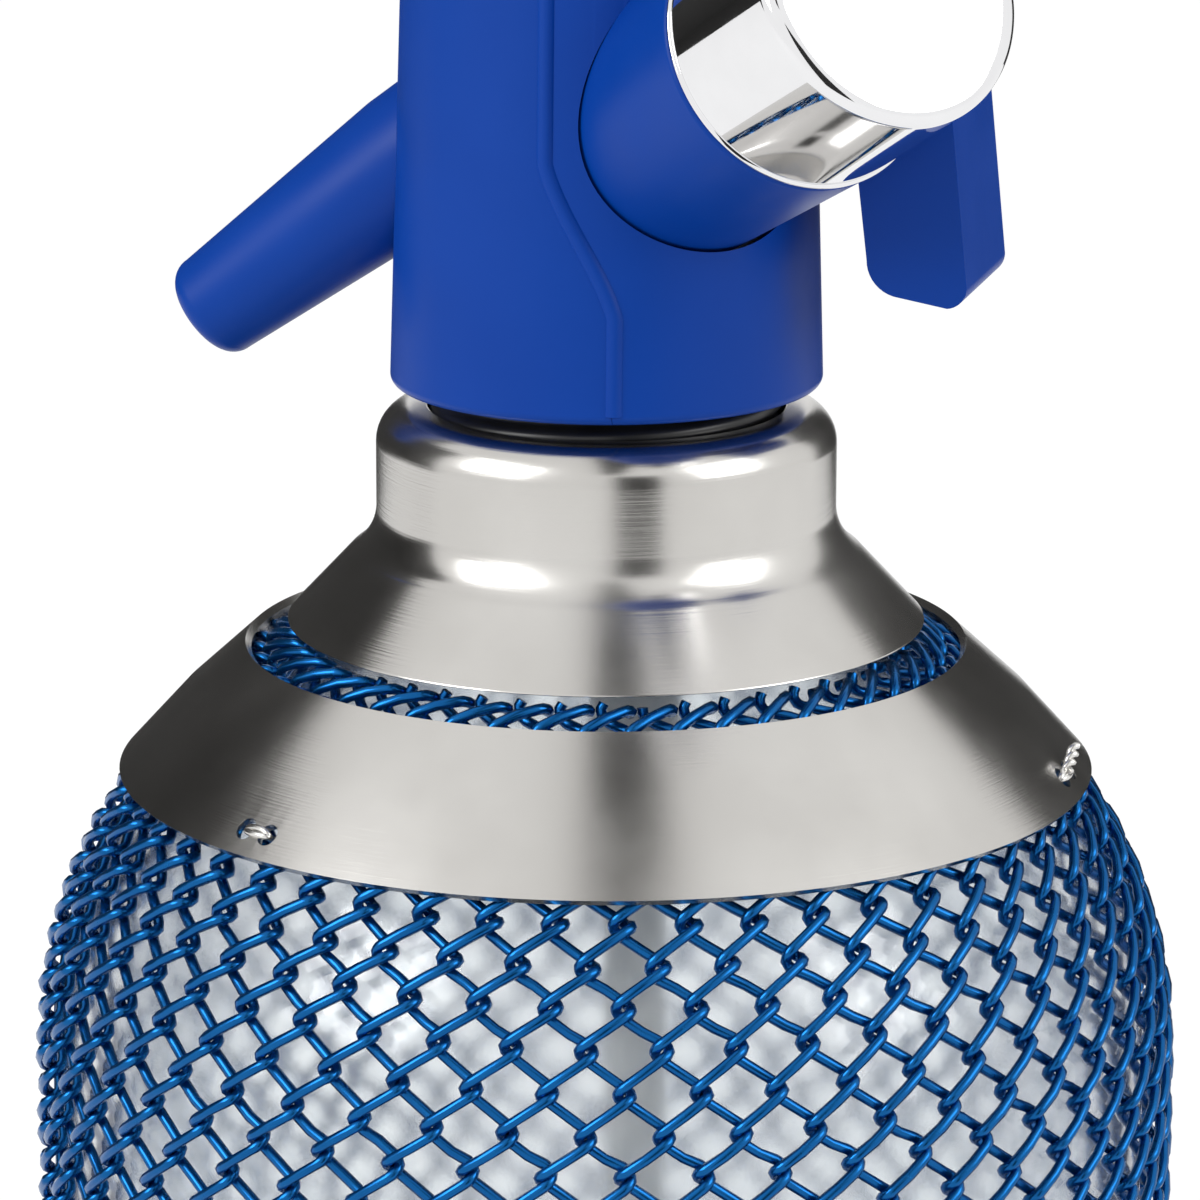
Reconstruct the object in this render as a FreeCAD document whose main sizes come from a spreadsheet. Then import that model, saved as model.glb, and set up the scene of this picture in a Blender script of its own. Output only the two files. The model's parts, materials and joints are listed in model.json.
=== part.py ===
# A one-litre soda siphon: a glass bottle in a wire sleeve with a screw-on head that
# carries a spout, a squeeze lever and the holder of a gas capsule.
# The origin is the centre of the base, +Z is up, the spout points to -X and the lever
# hangs at +X. All lengths are in millimetres and all angles in degrees.

import FreeCAD, Part
import math
import os
import Sketcher

Vector = FreeCAD.Vector
doc = FreeCAD.newDocument("SodaSiphon")
sheet = doc.addObject("Spreadsheet::Sheet", "dims")

# Driving dimensions
SIZES = [
    ("sleeve_radius", 55.2, "outside of the wire sleeve"),
    ("sleeve_thickness", 2.6, "two layers of wire"),
    ("sleeve_gap", 0.3, "between the sleeve and the glass"),
    ("glass_wall", 4.7, "bottle wall"),
    ("shoulder_start", 162.1, "height where the straight wall ends"),
    ("shoulder_arc", 42, "sleeve arc from wall to shoulder"),
    ("shoulder_top_radius", 36, "radius where the straight shoulder ends"),
    ("dome_arc", 20, "sleeve arc from shoulder to neck"),
    ("heel_arc", 15.1, "sleeve arc at the heel"),
    ("glass_base", 4.2, "height of the glass's underside"),
    ("glass_floor", 6, "thickness of the bottle's floor"),
    ("punt_depth", 1.6, "hollow under the floor"),
    ("foot_radius", 44.3, "rubber foot"),
    ("foot_recess_radius", 32, "recess under the foot"),
    ("foot_recess", 1.2, "depth of that recess"),
    ("sheet_gauge", 0.8, "rings of thin steel"),
    ("ring_top_radius", 34.5, "upper edge of the shoulder ring"),
    ("ring_bottom_radius", 46.7, "lower edge of the shoulder ring"),
    ("ring_bulge_arc", 92, "slight crown of the shoulder ring"),
    ("tie_count", 3, "wire ties on each ring"),
    ("tie_wire", 0.7, "diameter of the tie wire"),
    ("tie_spacing", 2.9, "between the two holes of a tie"),
    ("tie_hole", 2.2, "diameter of a tie's hole"),
    ("tie_edge_distance", 2.6, "holes from the ring's edge"),
    ("tie_start_angle", 240, "azimuth of the first tie"),
    ("neck_radius", 12.6, "outside of the glass neck"),
    ("neck_bore", 8.5, "radius of the glass mouth"),
    ("neck_fillet", 3, "between the dome and the neck"),
    ("lip_height", 230.5, "top of the glass"),
    ("groove_bottom", 211, "lower wall of the neck's groove"),
    ("groove_width", 3, "height of the neck's groove"),
    ("groove_depth", 1.6, "depth of the neck's groove"),
    ("collar_radius", 21.9, "upright part of the neck collar"),
    ("collar_rim_radius", 30.5, "lower rim of the neck collar"),
    ("collar_rim_height", 203.6, "height of that rim"),
    ("collar_top", 224.4, "top of the neck collar"),
    ("collar_crown", 3.6, "rounded top edge of the collar"),
    ("collar_flange", 1.8, "ledge under the split ring"),
    ("thread_radius", 16.8, "thread between head and collar"),
    ("thread_clearance", 0.2, "radial play of that thread"),
    ("thread_pitch", 3, "rise of the head in one turn"),
    ("gasket_height", 2.5, "rubber ring on the glass lip"),
    ("gasket_bore", 9.2, "inner radius of that ring"),
    ("head_bottom", 226.5, "lower edge of the head"),
    ("head_radius", 20.5, "head at its lower edge"),
    ("head_top_radius", 19, "head at the start of its crown"),
    ("head_top", 284, "flat top of the head"),
    ("head_crown", 8, "rounded top edge of the head"),
    ("head_bore", 17.3, "inside of the head's casing"),
    ("head_roof", 2.5, "thickness of the casing's top"),
    ("head_floor", 2, "thickness of the casing's bottom"),
    ("head_opening", 9, "hole in the casing's top"),
    ("seam_upper", -0.6, "x of the casing's seam, upper run"),
    ("seam_lower", 5.7, "x of the casing's seam, lower run"),
    ("seam_jog_top", 249, "height where the seam turns"),
    ("seam_jog_bottom", 235, "height where it turns back"),
    ("block_radius", 17, "valve block"),
    ("block_top", 277.4, "top of the valve block"),
    ("capsule_azimuth", -43, "direction of the capsule holder"),
    ("capsule_elevation", 27.6, "its rise above the horizontal"),
    ("capsule_height", 245.9, "where its axis crosses the siphon's"),
    ("capsule_radius", 9, "gas capsule"),
    ("capsule_length", 65, "gas capsule"),
    ("capsule_neck", 3.9, "radius of the capsule's neck"),
    ("capsule_play", 0.3, "round the capsule"),
    ("holder_radius", 13, "outside of the capsule holder"),
    ("holder_start", 35.8, "holder's flange, along its axis"),
    ("holder_end", 52.6, "holder's end face, along its axis"),
    ("holder_wall", 1.4, "end wall of the holder"),
    ("holder_neck_wall", 1.3, "threaded neck of the holder"),
    ("holder_neck_length", 10.2, "threaded neck of the holder"),
    ("holder_edge", 2, "rounded end of the holder"),
    ("holder_flange", 0.6, "how far and how thick the flange is"),
    ("holder_pitch", 1.5, "travel of the holder in one turn"),
    ("cushion_thickness", 0.9, "pad at the capsule's end"),
    ("sleeve_wall", 1.2, "threaded sleeve in the boss"),
    ("boss_wall", 1.2, "boss round the threaded sleeve"),
    ("boss_gap", 0.3, "between boss and holder"),
    ("pin_radius", 0.8, "piercing pin"),
    ("pin_reach", 2, "how far the pin enters the capsule"),
    ("gas_seal", 1.5, "rubber seal at the capsule's mouth"),
    ("gas_drilling_rise", 39, "slope of the gas drilling"),
    ("gas_valve_radius", 1.9, "non-return valve"),
    ("gas_valve_offset", 6, "non-return valve from the axis"),
    ("spout_drop", 37, "slope of the spout below horizontal"),
    ("spout_height", 261, "where its axis crosses the siphon's"),
    ("spout_root_radius", 6.9, "spout where it leaves the head"),
    ("spout_tip_radius", 5.1, "spout's tip"),
    ("spout_root", 20, "start of the spout along its axis"),
    ("spout_length", 50.6, "end of the spout along its axis"),
    ("spout_bore", 2.4, "bore of the spout"),
    ("channel_radius", 1.8, "drillings for the water"),
    ("channel_offset", 12.6, "upright drilling from the axis"),
    ("channel_azimuth", 47, "direction of that drilling"),
    ("outlet_offset", 10.5, "drilling from valve to spout"),
    ("riser_x", 2.8, "riser tube from the axis"),
    ("riser_y", 0.75, "riser tube from the axis"),
    ("riser_radius", 3, "riser tube"),
    ("riser_wall", 0.8, "riser tube"),
    ("riser_socket", 2.5, "depth of its socket in the block"),
    ("riser_bottom", 16, "lower end of the riser tube"),
    ("measure_radius", 4.6, "filling-level tube round the riser"),
    ("measure_wall", 1, "filling-level tube"),
    ("measure_bottom", 186, "filling level"),
    ("valve_bore", 5, "chamber of the outlet valve"),
    ("valve_floor", 262.5, "bottom of that chamber"),
    ("seat_height", 271, "underside of the valve's seat"),
    ("seat_thickness", 2, "ring of the seat"),
    ("seat_bore", 2.6, "passage through the seat"),
    ("washer_radius", 4.2, "sealing washer on the stem"),
    ("washer_thickness", 3, "sealing washer on the stem"),
    ("washer_gap", 0.1, "between washer and seat"),
    ("disc_thickness", 1.5, "disc that carries the washer"),
    ("stem_radius", 1.5, "valve stem"),
    ("stem_fit", 0.08, "radial play of the stem"),
    ("stem_button", 2.4, "radius of the stem's button"),
    ("spring_wire", 0.7, "valve spring"),
    ("spring_radius", 3.3, "valve spring, to the wire's middle"),
    ("spring_turns", 2, "valve spring"),
    ("gland_bottom", 276.2, "stem seal and guide"),
    ("pivot_x", -12, "lever pin"),
    ("pivot_height", 291, "lever pin"),
    ("pivot_radius", 1.5, "lever pin"),
    ("pivot_fit", 0.08, "radial play of the lever on its pin"),
    ("lug_radius", 3.8, "bracket round the pin"),
    ("lug_width", 10, "bracket"),
    ("bracket_height", 0.5, "bracket's foot above the casing"),
    ("lever_width", 18, "lever"),
    ("lever_slot", 12, "slot under the lever"),
    ("lever_bottom", 238, "lower end of the lever"),
    ("lever_reach", 27, "inner face of the lever's lower end"),
    ("lever_thickness", 9.4, "lever's grip"),
    ("lever_top", 305, "top of the lever"),
    ("lever_edge", 1.2, "bevelled outer edges of the lever"),
    ("screw_radius", 1.25, "casing screws"),
    ("screw_head", 2.4, "head of a casing screw"),
    ("screw_depth", 1.4, "how deep a head sits"),
]

for row, (alias, number, meaning) in enumerate(SIZES, start=1):
    sheet.set("A%d" % row, meaning)
    sheet.set("B%d" % row, str(number))
    sheet.setAlias("B%d" % row, alias)
doc.recompute()


class Size:
    """A number together with the sheet expression that gives it."""

    def __init__(self, number, text):
        self.number = float(number)
        self.text = text

    def join(self, other, sign, number):
        return Size(number, "(%s %s %s)" % (self.text, sign, other.text))

    def __add__(self, other):
        other = size(other)
        return self.join(other, "+", self.number + other.number)

    def __sub__(self, other):
        other = size(other)
        return self.join(other, "-", self.number - other.number)

    def __mul__(self, other):
        other = size(other)
        return self.join(other, "*", self.number * other.number)

    def __truediv__(self, other):
        other = size(other)
        return self.join(other, "/", self.number / other.number)

    def __radd__(self, other):
        return size(other) + self

    def __rsub__(self, other):
        return size(other) - self

    def __rmul__(self, other):
        return size(other) * self

    def __neg__(self):
        return size(0) - self


def size(value):
    """A plain number as a Size, and a Size as it is."""
    if isinstance(value, Size):
        return value
    return Size(value, "%.6f" % value)


def sine(angle):
    angle = size(angle)
    return Size(math.sin(math.radians(angle.number)), "sin(%s)" % angle.text)


def cosine(angle):
    angle = size(angle)
    return Size(math.cos(math.radians(angle.number)), "cos(%s)" % angle.text)


class Dims:
    """The sheet's cells, read by their names."""

    def __getattr__(self, alias):
        return Size(sheet.get(alias), "dims." + alias)


d = Dims()


def place(item, x=0, y=0, z=0, yaw=0, pitch=0, roll=0):
    """Binds an object's placement to the sheet."""
    at = "create(<<vector>>; %s; %s; %s)" % (size(x).text, size(y).text, size(z).text)
    turn = "create(<<rotation>>; %s; %s; %s)" % (size(yaw).text, size(pitch).text, size(roll).text)
    item.setExpression("Placement", "create(<<placement>>; %s; %s)" % (at, turn))
    return item


def arc_between(start, end, radius):
    """An arc of the given radius, counter-clockwise when the radius is positive."""
    a = Vector(start[0].number, start[1].number, 0)
    b = Vector(end[0].number, end[1].number, 0)
    reach = abs(radius.number)
    half = (b - a).Length / 2
    rise = math.sqrt(max(reach ** 2 - half ** 2, 0))
    left = Vector(a.y - b.y, b.x - a.x, 0).normalize()
    side = 1 if radius.number > 0 else -1
    centre = (a + b) * 0.5 + left * (side * rise)
    first, last = (a, b) if side > 0 else (b, a)
    first_angle = math.atan2(first.y - centre.y, first.x - centre.x)
    last_angle = math.atan2(last.y - centre.y, last.x - centre.x)
    if last_angle <= first_angle:
        last_angle += 2 * math.pi
    circle = Part.Circle(centre, Vector(0, 0, 1), reach)
    return Part.ArcOfCircle(circle, first_angle, last_angle)


def outline_sketch(body, name, plane_role, points):
    """A closed outline. A point is (x, y), or (x, y, radius) where an arc leads to it."""
    sketch = body.newObject("Sketcher::SketchObject", name)
    plane = [item for item in body.Origin.OriginFeatures if item.Role == plane_role][0]
    sketch.AttachmentSupport = [(plane, "")]
    sketch.MapMode = "FlatFace"
    corners = [(size(point[0]), size(point[1])) for point in points]
    radii = [size(point[2]) if len(point) > 2 else None for point in points]
    count = len(corners)
    starts = []
    for index in range(count):
        here = corners[index]
        there = corners[(index + 1) % count]
        radius = radii[(index + 1) % count]
        if radius is None:
            a = Vector(here[0].number, here[1].number, 0)
            b = Vector(there[0].number, there[1].number, 0)
            sketch.addGeometry(Part.LineSegment(a, b))
            starts.append((1, 2))
        else:
            sketch.addGeometry(arc_between(here, there, radius))
            starts.append((1, 2) if radius.number > 0 else (2, 1))
    for index in range(count):
        after = (index + 1) % count
        end_point = starts[index][1]
        sketch.addConstraint(Sketcher.Constraint("Coincident", index, end_point, after, starts[after][0]))
    for index, (x, y) in enumerate(corners):
        for kind, value in (("DistanceX", x), ("DistanceY", y)):
            link = Sketcher.Constraint(kind, -1, 1, index, starts[index][0], value.number)
            number = sketch.addConstraint(link)
            sketch.setExpression("Constraints[%d]" % number, value.text)
    for index in range(count):
        radius = radii[(index + 1) % count]
        if radius is not None:
            link = Sketcher.Constraint("Radius", index, abs(radius.number))
            number = sketch.addConstraint(link)
            text = radius.text if radius.number > 0 else "-(%s)" % radius.text
            sketch.setExpression("Constraints[%d]" % number, text)
    return sketch


def turned(label, points):
    """A turned piece: an outline of (radius, height) points revolved about Z."""
    body = doc.addObject("PartDesign::Body", label)
    sketch = outline_sketch(body, label + "_outline", "XZ_Plane", points)
    feature = body.newObject("PartDesign::Revolution", label + "_turning")
    feature.Profile = sketch
    feature.ReferenceAxis = (sketch, ["V_Axis"])
    feature.Angle = 360
    body.Tip = feature
    return body


def slab(label, points, width):
    """A side outline of (x, z) points, padded to both sides of the middle plane."""
    body = doc.addObject("PartDesign::Body", label)
    sketch = outline_sketch(body, label + "_outline", "XZ_Plane", points)
    feature = body.newObject("PartDesign::Pad", label + "_pad")
    feature.Profile = sketch
    feature.SideType = "Symmetric"
    feature.setExpression("Length", size(width).text)
    body.Tip = feature
    return body


def rod(name, radius, length, **where):
    """A cylinder whose foot and direction are given."""
    item = doc.addObject("Part::Cylinder", name)
    item.setExpression("Radius", size(radius).text)
    item.setExpression("Height", size(length).text)
    return place(item, **where)


def block(name, low, high):
    """A box between two corners."""
    item = doc.addObject("Part::Box", name)
    low = [size(value) for value in low]
    high = [size(value) for value in high]
    for key, a, b in zip(("Length", "Width", "Height"), low, high):
        item.setExpression(key, (b - a).text)
    return place(item, x=low[0], y=low[1], z=low[2])


def cut(label, base, tools):
    """The base with every tool taken away."""
    if len(tools) == 1:
        tool = tools[0]
    else:
        tool = doc.addObject("Part::MultiFuse", label + "_cutters")
        tool.Shapes = tools
    item = doc.addObject("Part::Cut", label)
    item.Base = base
    item.Tool = tool
    return item


def fused(label, pieces):
    item = doc.addObject("Part::MultiFuse", label)
    item.Shapes = pieces
    return item


def shared(label, first, second):
    item = doc.addObject("Part::Common", label)
    item.Base = first
    item.Tool = second
    return item


nodes = []


def keep(item):
    """Marks an object as one of the finished pieces."""
    nodes.append(item)
    return item


# Directions of the two slanting axes
capsule_pitch = 90 - d.capsule_elevation
spout_pitch = 90 + d.spout_drop


def along_capsule(distance=0):
    """Placement values for a point on the capsule's axis."""
    flat = distance * cosine(d.capsule_elevation)
    return {
        "x": flat * cosine(d.capsule_azimuth),
        "y": flat * sine(d.capsule_azimuth),
        "z": d.capsule_height + distance * sine(d.capsule_elevation),
        "yaw": d.capsule_azimuth,
        "pitch": capsule_pitch,
    }


def along_spout(distance=0):
    """Placement values for a point on the spout's axis."""
    return {
        "x": -(distance * cosine(d.spout_drop)),
        "z": d.spout_height - distance * sine(d.spout_drop),
        "yaw": 180,
        "pitch": spout_pitch,
    }


# Wire sleeve and glass bottle, two skins of one shape
sleeve_inner = d.sleeve_radius - d.sleeve_thickness
glass_radius = sleeve_inner - d.sleeve_gap
shoulder_centre = d.sleeve_radius - d.shoulder_arc
dome_radius = d.shoulder_top_radius - d.dome_arc * cosine(45)
shoulder_sum = shoulder_centre + d.shoulder_start + d.shoulder_arc * 2 * cosine(45)
dome_height = shoulder_sum - d.shoulder_top_radius - d.dome_arc * cosine(45)
heel_radius = d.sleeve_radius - d.heel_arc
heel_height = d.glass_base + d.heel_arc - d.sleeve_thickness - d.sleeve_gap
DOME_END = 70
HEEL_END = 60


def shoulder_points(inset, down=True):
    """The shoulder's outline, a distance inside the sleeve's outer face."""
    arc = d.shoulder_arc - inset
    dome = d.dome_arc - inset
    points = [
        (d.sleeve_radius - inset, d.shoulder_start),
        (shoulder_centre + arc * cosine(45), d.shoulder_start + arc * cosine(45)),
        (dome_radius + dome * cosine(45), dome_height + dome * cosine(45)),
        (dome_radius + dome * cosine(DOME_END), dome_height + dome * sine(DOME_END)),
    ]
    if down:
        return [points[3], points[2] + (-dome,), points[1], points[0] + (-arc,)]
    return [points[0], points[1] + (arc,), points[2], points[3] + (dome,)]


def heel_end(inset, angle=HEEL_END):
    """A point on the heel's arc, a distance inside the sleeve's outer face."""
    arc = d.heel_arc - inset
    return heel_radius + arc * cosine(angle), heel_height - arc * sine(angle)


def mesh_sleeve():
    inner = shoulder_points(d.sleeve_thickness)
    outer = shoulder_points(0, down=False)
    low_out = heel_end(0)
    low_in = heel_end(d.sleeve_thickness)
    wall_out = (d.sleeve_radius, heel_height, d.heel_arc)
    points = [low_out, wall_out] + outer + inner
    points.append((sleeve_inner, heel_height))
    points.append(low_in + (-(d.heel_arc - d.sleeve_thickness),))
    return turned("mesh_sleeve", points)


def glass_bottle():
    inset = d.sleeve_thickness + d.sleeve_gap
    heel = d.heel_arc - inset
    groove_top = d.groove_bottom + d.groove_width
    groove_radius = d.neck_radius - d.groove_depth
    dome_x = dome_radius + (d.dome_arc - inset) * cosine(DOME_END)
    dome_y = dome_height + (d.dome_arc - inset) * sine(DOME_END)
    slope = cosine(DOME_END) / sine(DOME_END)
    neck_foot = dome_y + (dome_x - d.neck_radius - d.neck_fillet) * slope
    inner_radius = glass_radius - d.glass_wall
    inner_arc = d.shoulder_arc - inset - d.glass_wall
    inner_heel = heel - d.glass_wall
    floor = d.glass_base + d.glass_floor
    shoulder_x = shoulder_centre + inner_arc * cosine(45)
    shoulder_y = d.shoulder_start + inner_arc * cosine(45)
    dome_inner = dome_radius + (d.dome_arc - inset - d.glass_wall) * cosine(45)
    points = [
        (0, d.glass_base + d.punt_depth),
        (heel_radius - heel, d.glass_base),
        (heel_radius, d.glass_base),
        (glass_radius, heel_height, heel),
    ]
    points += shoulder_points(inset, down=False)
    points += [
        (d.neck_radius + d.neck_fillet, neck_foot),
        (d.neck_radius, neck_foot + d.neck_fillet, -d.neck_fillet),
        (d.neck_radius, d.groove_bottom),
        (groove_radius, d.groove_bottom),
        (groove_radius, groove_top),
        (d.neck_radius, groove_top),
        (d.neck_radius, d.lip_height - 1),
        (d.neck_radius - 1, d.lip_height, 1),
        (d.neck_bore + 1, d.lip_height),
        (d.neck_bore, d.lip_height - 1, 1),
        (d.neck_bore, neck_foot - 2),
        (dome_inner, shoulder_x + shoulder_y - dome_inner),
        (shoulder_x, shoulder_y),
        (inner_radius, d.shoulder_start, -inner_arc),
        (inner_radius, floor + inner_heel),
        (inner_radius - inner_heel, floor, -inner_heel),
        (0, floor + d.punt_depth),
    ]
    return turned("glass_bottle", points)


def foot_pad():
    bevel = 1
    height = d.glass_base
    points = [
        (0, d.foot_recess),
        (d.foot_recess_radius - bevel, d.foot_recess),
        (d.foot_recess_radius, 0),
        (d.foot_radius - bevel, 0),
        (d.foot_radius, bevel, bevel),
        (d.foot_radius, height),
        (0, height),
    ]
    return turned("foot_pad", points)


def tie_pieces(name, radius, height, slope):
    """Wire loops and their hole cutters, spread round one ring."""
    loops = []
    holes = []
    ties = int(d.tie_count.number)
    for index in range(ties):
        angle = d.tie_start_angle + index * 360 / ties
        loop = doc.addObject("Part::Torus", "%s_loop_%d" % (name, index))
        loop.setExpression("Radius1", (d.tie_spacing / 2).text)
        loop.setExpression("Radius2", (d.tie_wire / 2).text)
        loop.Angle3 = 180
        place(loop, x=radius * cosine(angle), y=radius * sine(angle), z=height,
              yaw=angle + 90, roll=slope + 90)
        loops.append(loop)
        for side in (-1, 1):
            swing = d.tie_spacing / 2 * side
            reach = radius - sine(slope)
            x = reach * cosine(angle) - swing * sine(angle)
            y = reach * sine(angle) + swing * cosine(angle)
            hole = rod("%s_hole_%d_%d" % (name, index, side), d.tie_hole / 2, 5, x=x, y=y,
                       z=height - cosine(slope), yaw=angle, pitch=slope)
            holes.append(hole)
    return loops, holes


def shoulder_ring():
    """A thin crowned cone tied over the sleeve's shoulder."""
    lift = d.sheet_gauge * cosine(45)
    clear = 0.1
    line = shoulder_sum + (d.sheet_gauge + clear) / cosine(45)
    top = line - d.ring_top_radius
    bottom = line - d.ring_bottom_radius
    points = [
        (d.ring_bottom_radius, bottom),
        (d.ring_top_radius, top, d.ring_bulge_arc),
        (d.ring_top_radius - lift, top - lift),
        (d.ring_bottom_radius - lift, bottom - lift, -d.ring_bulge_arc),
    ]
    form = turned("shoulder_ring_form", points)
    inward = d.tie_edge_distance * cosine(45)
    radius = d.ring_bottom_radius - inward - lift
    height = bottom + inward - lift
    loops, holes = tie_pieces("shoulder_tie", radius, height, size(45))
    ring = cut("shoulder_ring", form, holes)
    return ring, fused("shoulder_ties", loops)


def base_ring():
    """The same kind of ring round the heel."""
    clear = 0.1
    outer = d.heel_arc + clear + d.sheet_gauge
    inner = d.heel_arc + clear
    high = 18
    low = 68
    points = [
        (heel_radius + outer * cosine(low), heel_height - outer * sine(low)),
        (heel_radius + outer * cosine(high), heel_height - outer * sine(high), outer),
        (heel_radius + inner * cosine(high), heel_height - inner * sine(high)),
        (heel_radius + inner * cosine(low), heel_height - inner * sine(low), -inner),
    ]
    form = turned("base_ring_form", points)
    middle = 32
    radius = heel_radius + inner * cosine(middle)
    height = heel_height - inner * sine(middle)
    loops, holes = tie_pieces("base_tie", radius, height, size(90 + middle))
    ring = cut("base_ring", form, holes)
    return ring, fused("base_ties", loops)


def neck_collar():
    """A bell with a ledge for the split ring and a thread for the head."""
    bore = d.thread_radius + d.thread_clearance
    ledge_top = d.groove_bottom
    ledge_bottom = ledge_top - d.collar_flange
    cone_run = 6
    cone_rise = 6.4
    cone_top = d.collar_rim_radius - cone_run
    cone_height = d.collar_rim_height + cone_rise
    points = [
        (d.collar_rim_radius, d.collar_rim_height),
        (cone_top, cone_height),
        (d.collar_radius, cone_height + 4.4, -5.6),
        (d.collar_radius, d.collar_top - d.collar_crown),
        (d.collar_radius - d.collar_crown, d.collar_top, d.collar_crown),
        (bore, d.collar_top),
        (bore, ledge_top),
        (d.neck_radius + 0.6, ledge_top),
        (d.neck_radius + 0.6, ledge_bottom),
        (cone_top - 0.1, ledge_bottom),
        (d.collar_rim_radius - 0.7, d.collar_rim_height - 0.2),
    ]
    return turned("neck_collar", points)


def split_ring(label, turn):
    """Half of the ring that sits in the neck's groove and carries the collar."""
    clear = 0.1
    ring = rod(label + "_disc", d.thread_radius - clear, d.groove_width - clear,
               z=d.groove_bottom, yaw=turn)
    ring.Angle = 178
    hole = rod(label + "_hole", d.neck_radius - d.groove_depth + clear, d.groove_width,
               z=d.groove_bottom)
    return cut(label, ring, [hole])


# Head casing, parted along a stepped seam
gasket_top = d.lip_height + d.gasket_height
inner_top = d.head_top - d.head_roof
sleeve_bore = d.capsule_radius + 0.4 + d.holder_neck_wall + d.boss_gap
boss_bore = sleeve_bore + d.sleeve_wall
boss_radius = boss_bore + d.boss_wall


def casing_form(name):
    edge = 0.6
    inner_crown = d.head_crown - d.head_roof
    throat = d.thread_radius + d.thread_clearance
    points = [
        (throat, d.head_bottom),
        (d.head_radius - edge, d.head_bottom),
        (d.head_radius, d.head_bottom + edge, edge),
        (d.head_top_radius, d.head_top - d.head_crown),
        (d.head_top_radius - d.head_crown, d.head_top, d.head_crown),
        (d.head_opening, d.head_top),
        (d.head_opening, inner_top),
        (d.head_bore - inner_crown, inner_top),
        (d.head_bore, d.head_top - d.head_crown, -inner_crown),
        (d.head_bore, d.head_bottom + d.head_floor),
        (throat, d.head_bottom + d.head_floor),
    ]
    form = turned(name + "_form", points)
    capsule_hole = rod(name + "_boss_hole", boss_radius, 40, **along_capsule(5))
    spout_hole = rod(name + "_spout_hole", d.spout_root_radius + 0.1, 30, **along_spout(10))
    cutters = [capsule_hole, spout_hole]
    for index, height in enumerate(screw_heights()):
        depth = d.head_bore + d.screw_depth
        cutters.append(rod("%s_screw_hole_%d" % (name, index), d.screw_radius, 30,
                           z=height, yaw=0, pitch=90))
        cutters.append(rod("%s_screw_seat_%d" % (name, index), d.screw_head + 0.1, 10,
                           x=depth - 0.9, z=height, yaw=0, pitch=90))
    return cut(name + "_whole", form, cutters)


def screw_heights():
    """Heights of the two screws hidden behind the lever."""
    return [d.head_bottom + 12.5, d.head_top - 14]


def front_half(name):
    """Everything on the spout's side of the stepped seam."""
    far = d.head_radius + 5
    low = d.head_bottom - 5
    high = d.head_top + 5
    points = [
        (-far, low),
        (d.seam_lower, low),
        (d.seam_lower, d.seam_jog_bottom),
        (d.seam_upper, d.seam_jog_top),
        (d.seam_upper, high),
        (-far, high),
    ]
    return slab(name, points, far * 2)


def head_shells():
    front = shared("head_shell_front", casing_form("front_casing"), front_half("front_side"))
    rear = cut("head_shell_rear", casing_form("rear_casing"), [front_half("rear_cutter")])
    return front, rear


def threaded_stub():
    bore = d.neck_radius + 0.4
    bottom = d.groove_bottom + d.groove_width + 1
    flange = d.head_bore - 0.2
    points = [
        (bore, bottom),
        (d.thread_radius - 0.6, bottom),
        (d.thread_radius, bottom + 0.8),
        (d.thread_radius, d.head_bottom + d.head_floor),
        (flange, d.head_bottom + d.head_floor),
        (flange, gasket_top),
        (bore, gasket_top),
    ]
    return turned("threaded_stub", points)


def head_gasket():
    points = [
        (d.gasket_bore, d.lip_height),
        (d.neck_radius - 0.2, d.lip_height),
        (d.neck_radius - 0.2, gasket_top),
        (d.gasket_bore, gasket_top),
    ]
    return turned("head_gasket", points)


# Gas capsule and the pieces along its axis, drawn upright and then tilted
cushion_end = d.holder_end - d.holder_wall - d.cushion_thickness
capsule_end = cushion_end - 0.1
capsule_mouth = capsule_end - d.capsule_length
seal_floor = capsule_mouth - d.gas_seal - 0.1


def co2_charger():
    neck = 10
    shoulder = 10.8
    butt = 6
    hole = d.pin_radius + 0.5
    depth = d.pin_reach + 0.8
    points = [
        (0, capsule_mouth + depth),
        (hole, capsule_mouth + depth),
        (hole, capsule_mouth),
        (d.capsule_neck, capsule_mouth),
        (d.capsule_neck, capsule_mouth + neck),
        (d.capsule_radius, capsule_mouth + neck + shoulder, 14),
        (d.capsule_radius, capsule_end - butt),
        (d.capsule_radius - butt, capsule_end, butt),
        (0, capsule_end),
    ]
    return place(turned("co2_charger", points), **along_capsule())


def charger_holder():
    bore = d.capsule_radius + 0.4
    neck = bore + d.holder_neck_wall
    flange = d.holder_radius + d.holder_flange
    neck_start = d.holder_start - d.holder_neck_length
    points = [
        (bore, neck_start),
        (neck, neck_start),
        (neck, d.holder_start),
        (flange, d.holder_start),
        (flange, d.holder_start + d.holder_flange),
        (d.holder_radius, d.holder_start + d.holder_flange),
        (d.holder_radius, d.holder_end - d.holder_edge),
        (d.holder_radius - d.holder_edge, d.holder_end, d.holder_edge),
        (0, d.holder_end),
        (0, d.holder_end - d.holder_wall),
        (bore, d.holder_end - d.holder_wall),
    ]
    return place(turned("charger_holder", points), **along_capsule())


def holder_cushion():
    return rod("holder_cushion", d.capsule_radius, d.cushion_thickness,
               **along_capsule(cushion_end))


def boss_pieces():
    """The boss and the threaded sleeve in it, both scooped to the valve block."""
    end = d.holder_start - d.boss_gap
    start = 8
    pieces = []
    for label, outer, inner in (
        ("charger_boss", boss_radius, boss_bore),
        ("holder_thread_sleeve", boss_bore, sleeve_bore),
    ):
        tube = rod(label + "_tube", outer, end - start, **along_capsule(size(start)))
        hole = rod(label + "_bore", inner, end, **along_capsule(size(start) - 4))
        scoop = rod(label + "_scoop", d.block_radius + 0.2, 80, z=d.head_bottom)
        pieces.append(cut(label, tube, [hole, scoop]))
    return pieces


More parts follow.
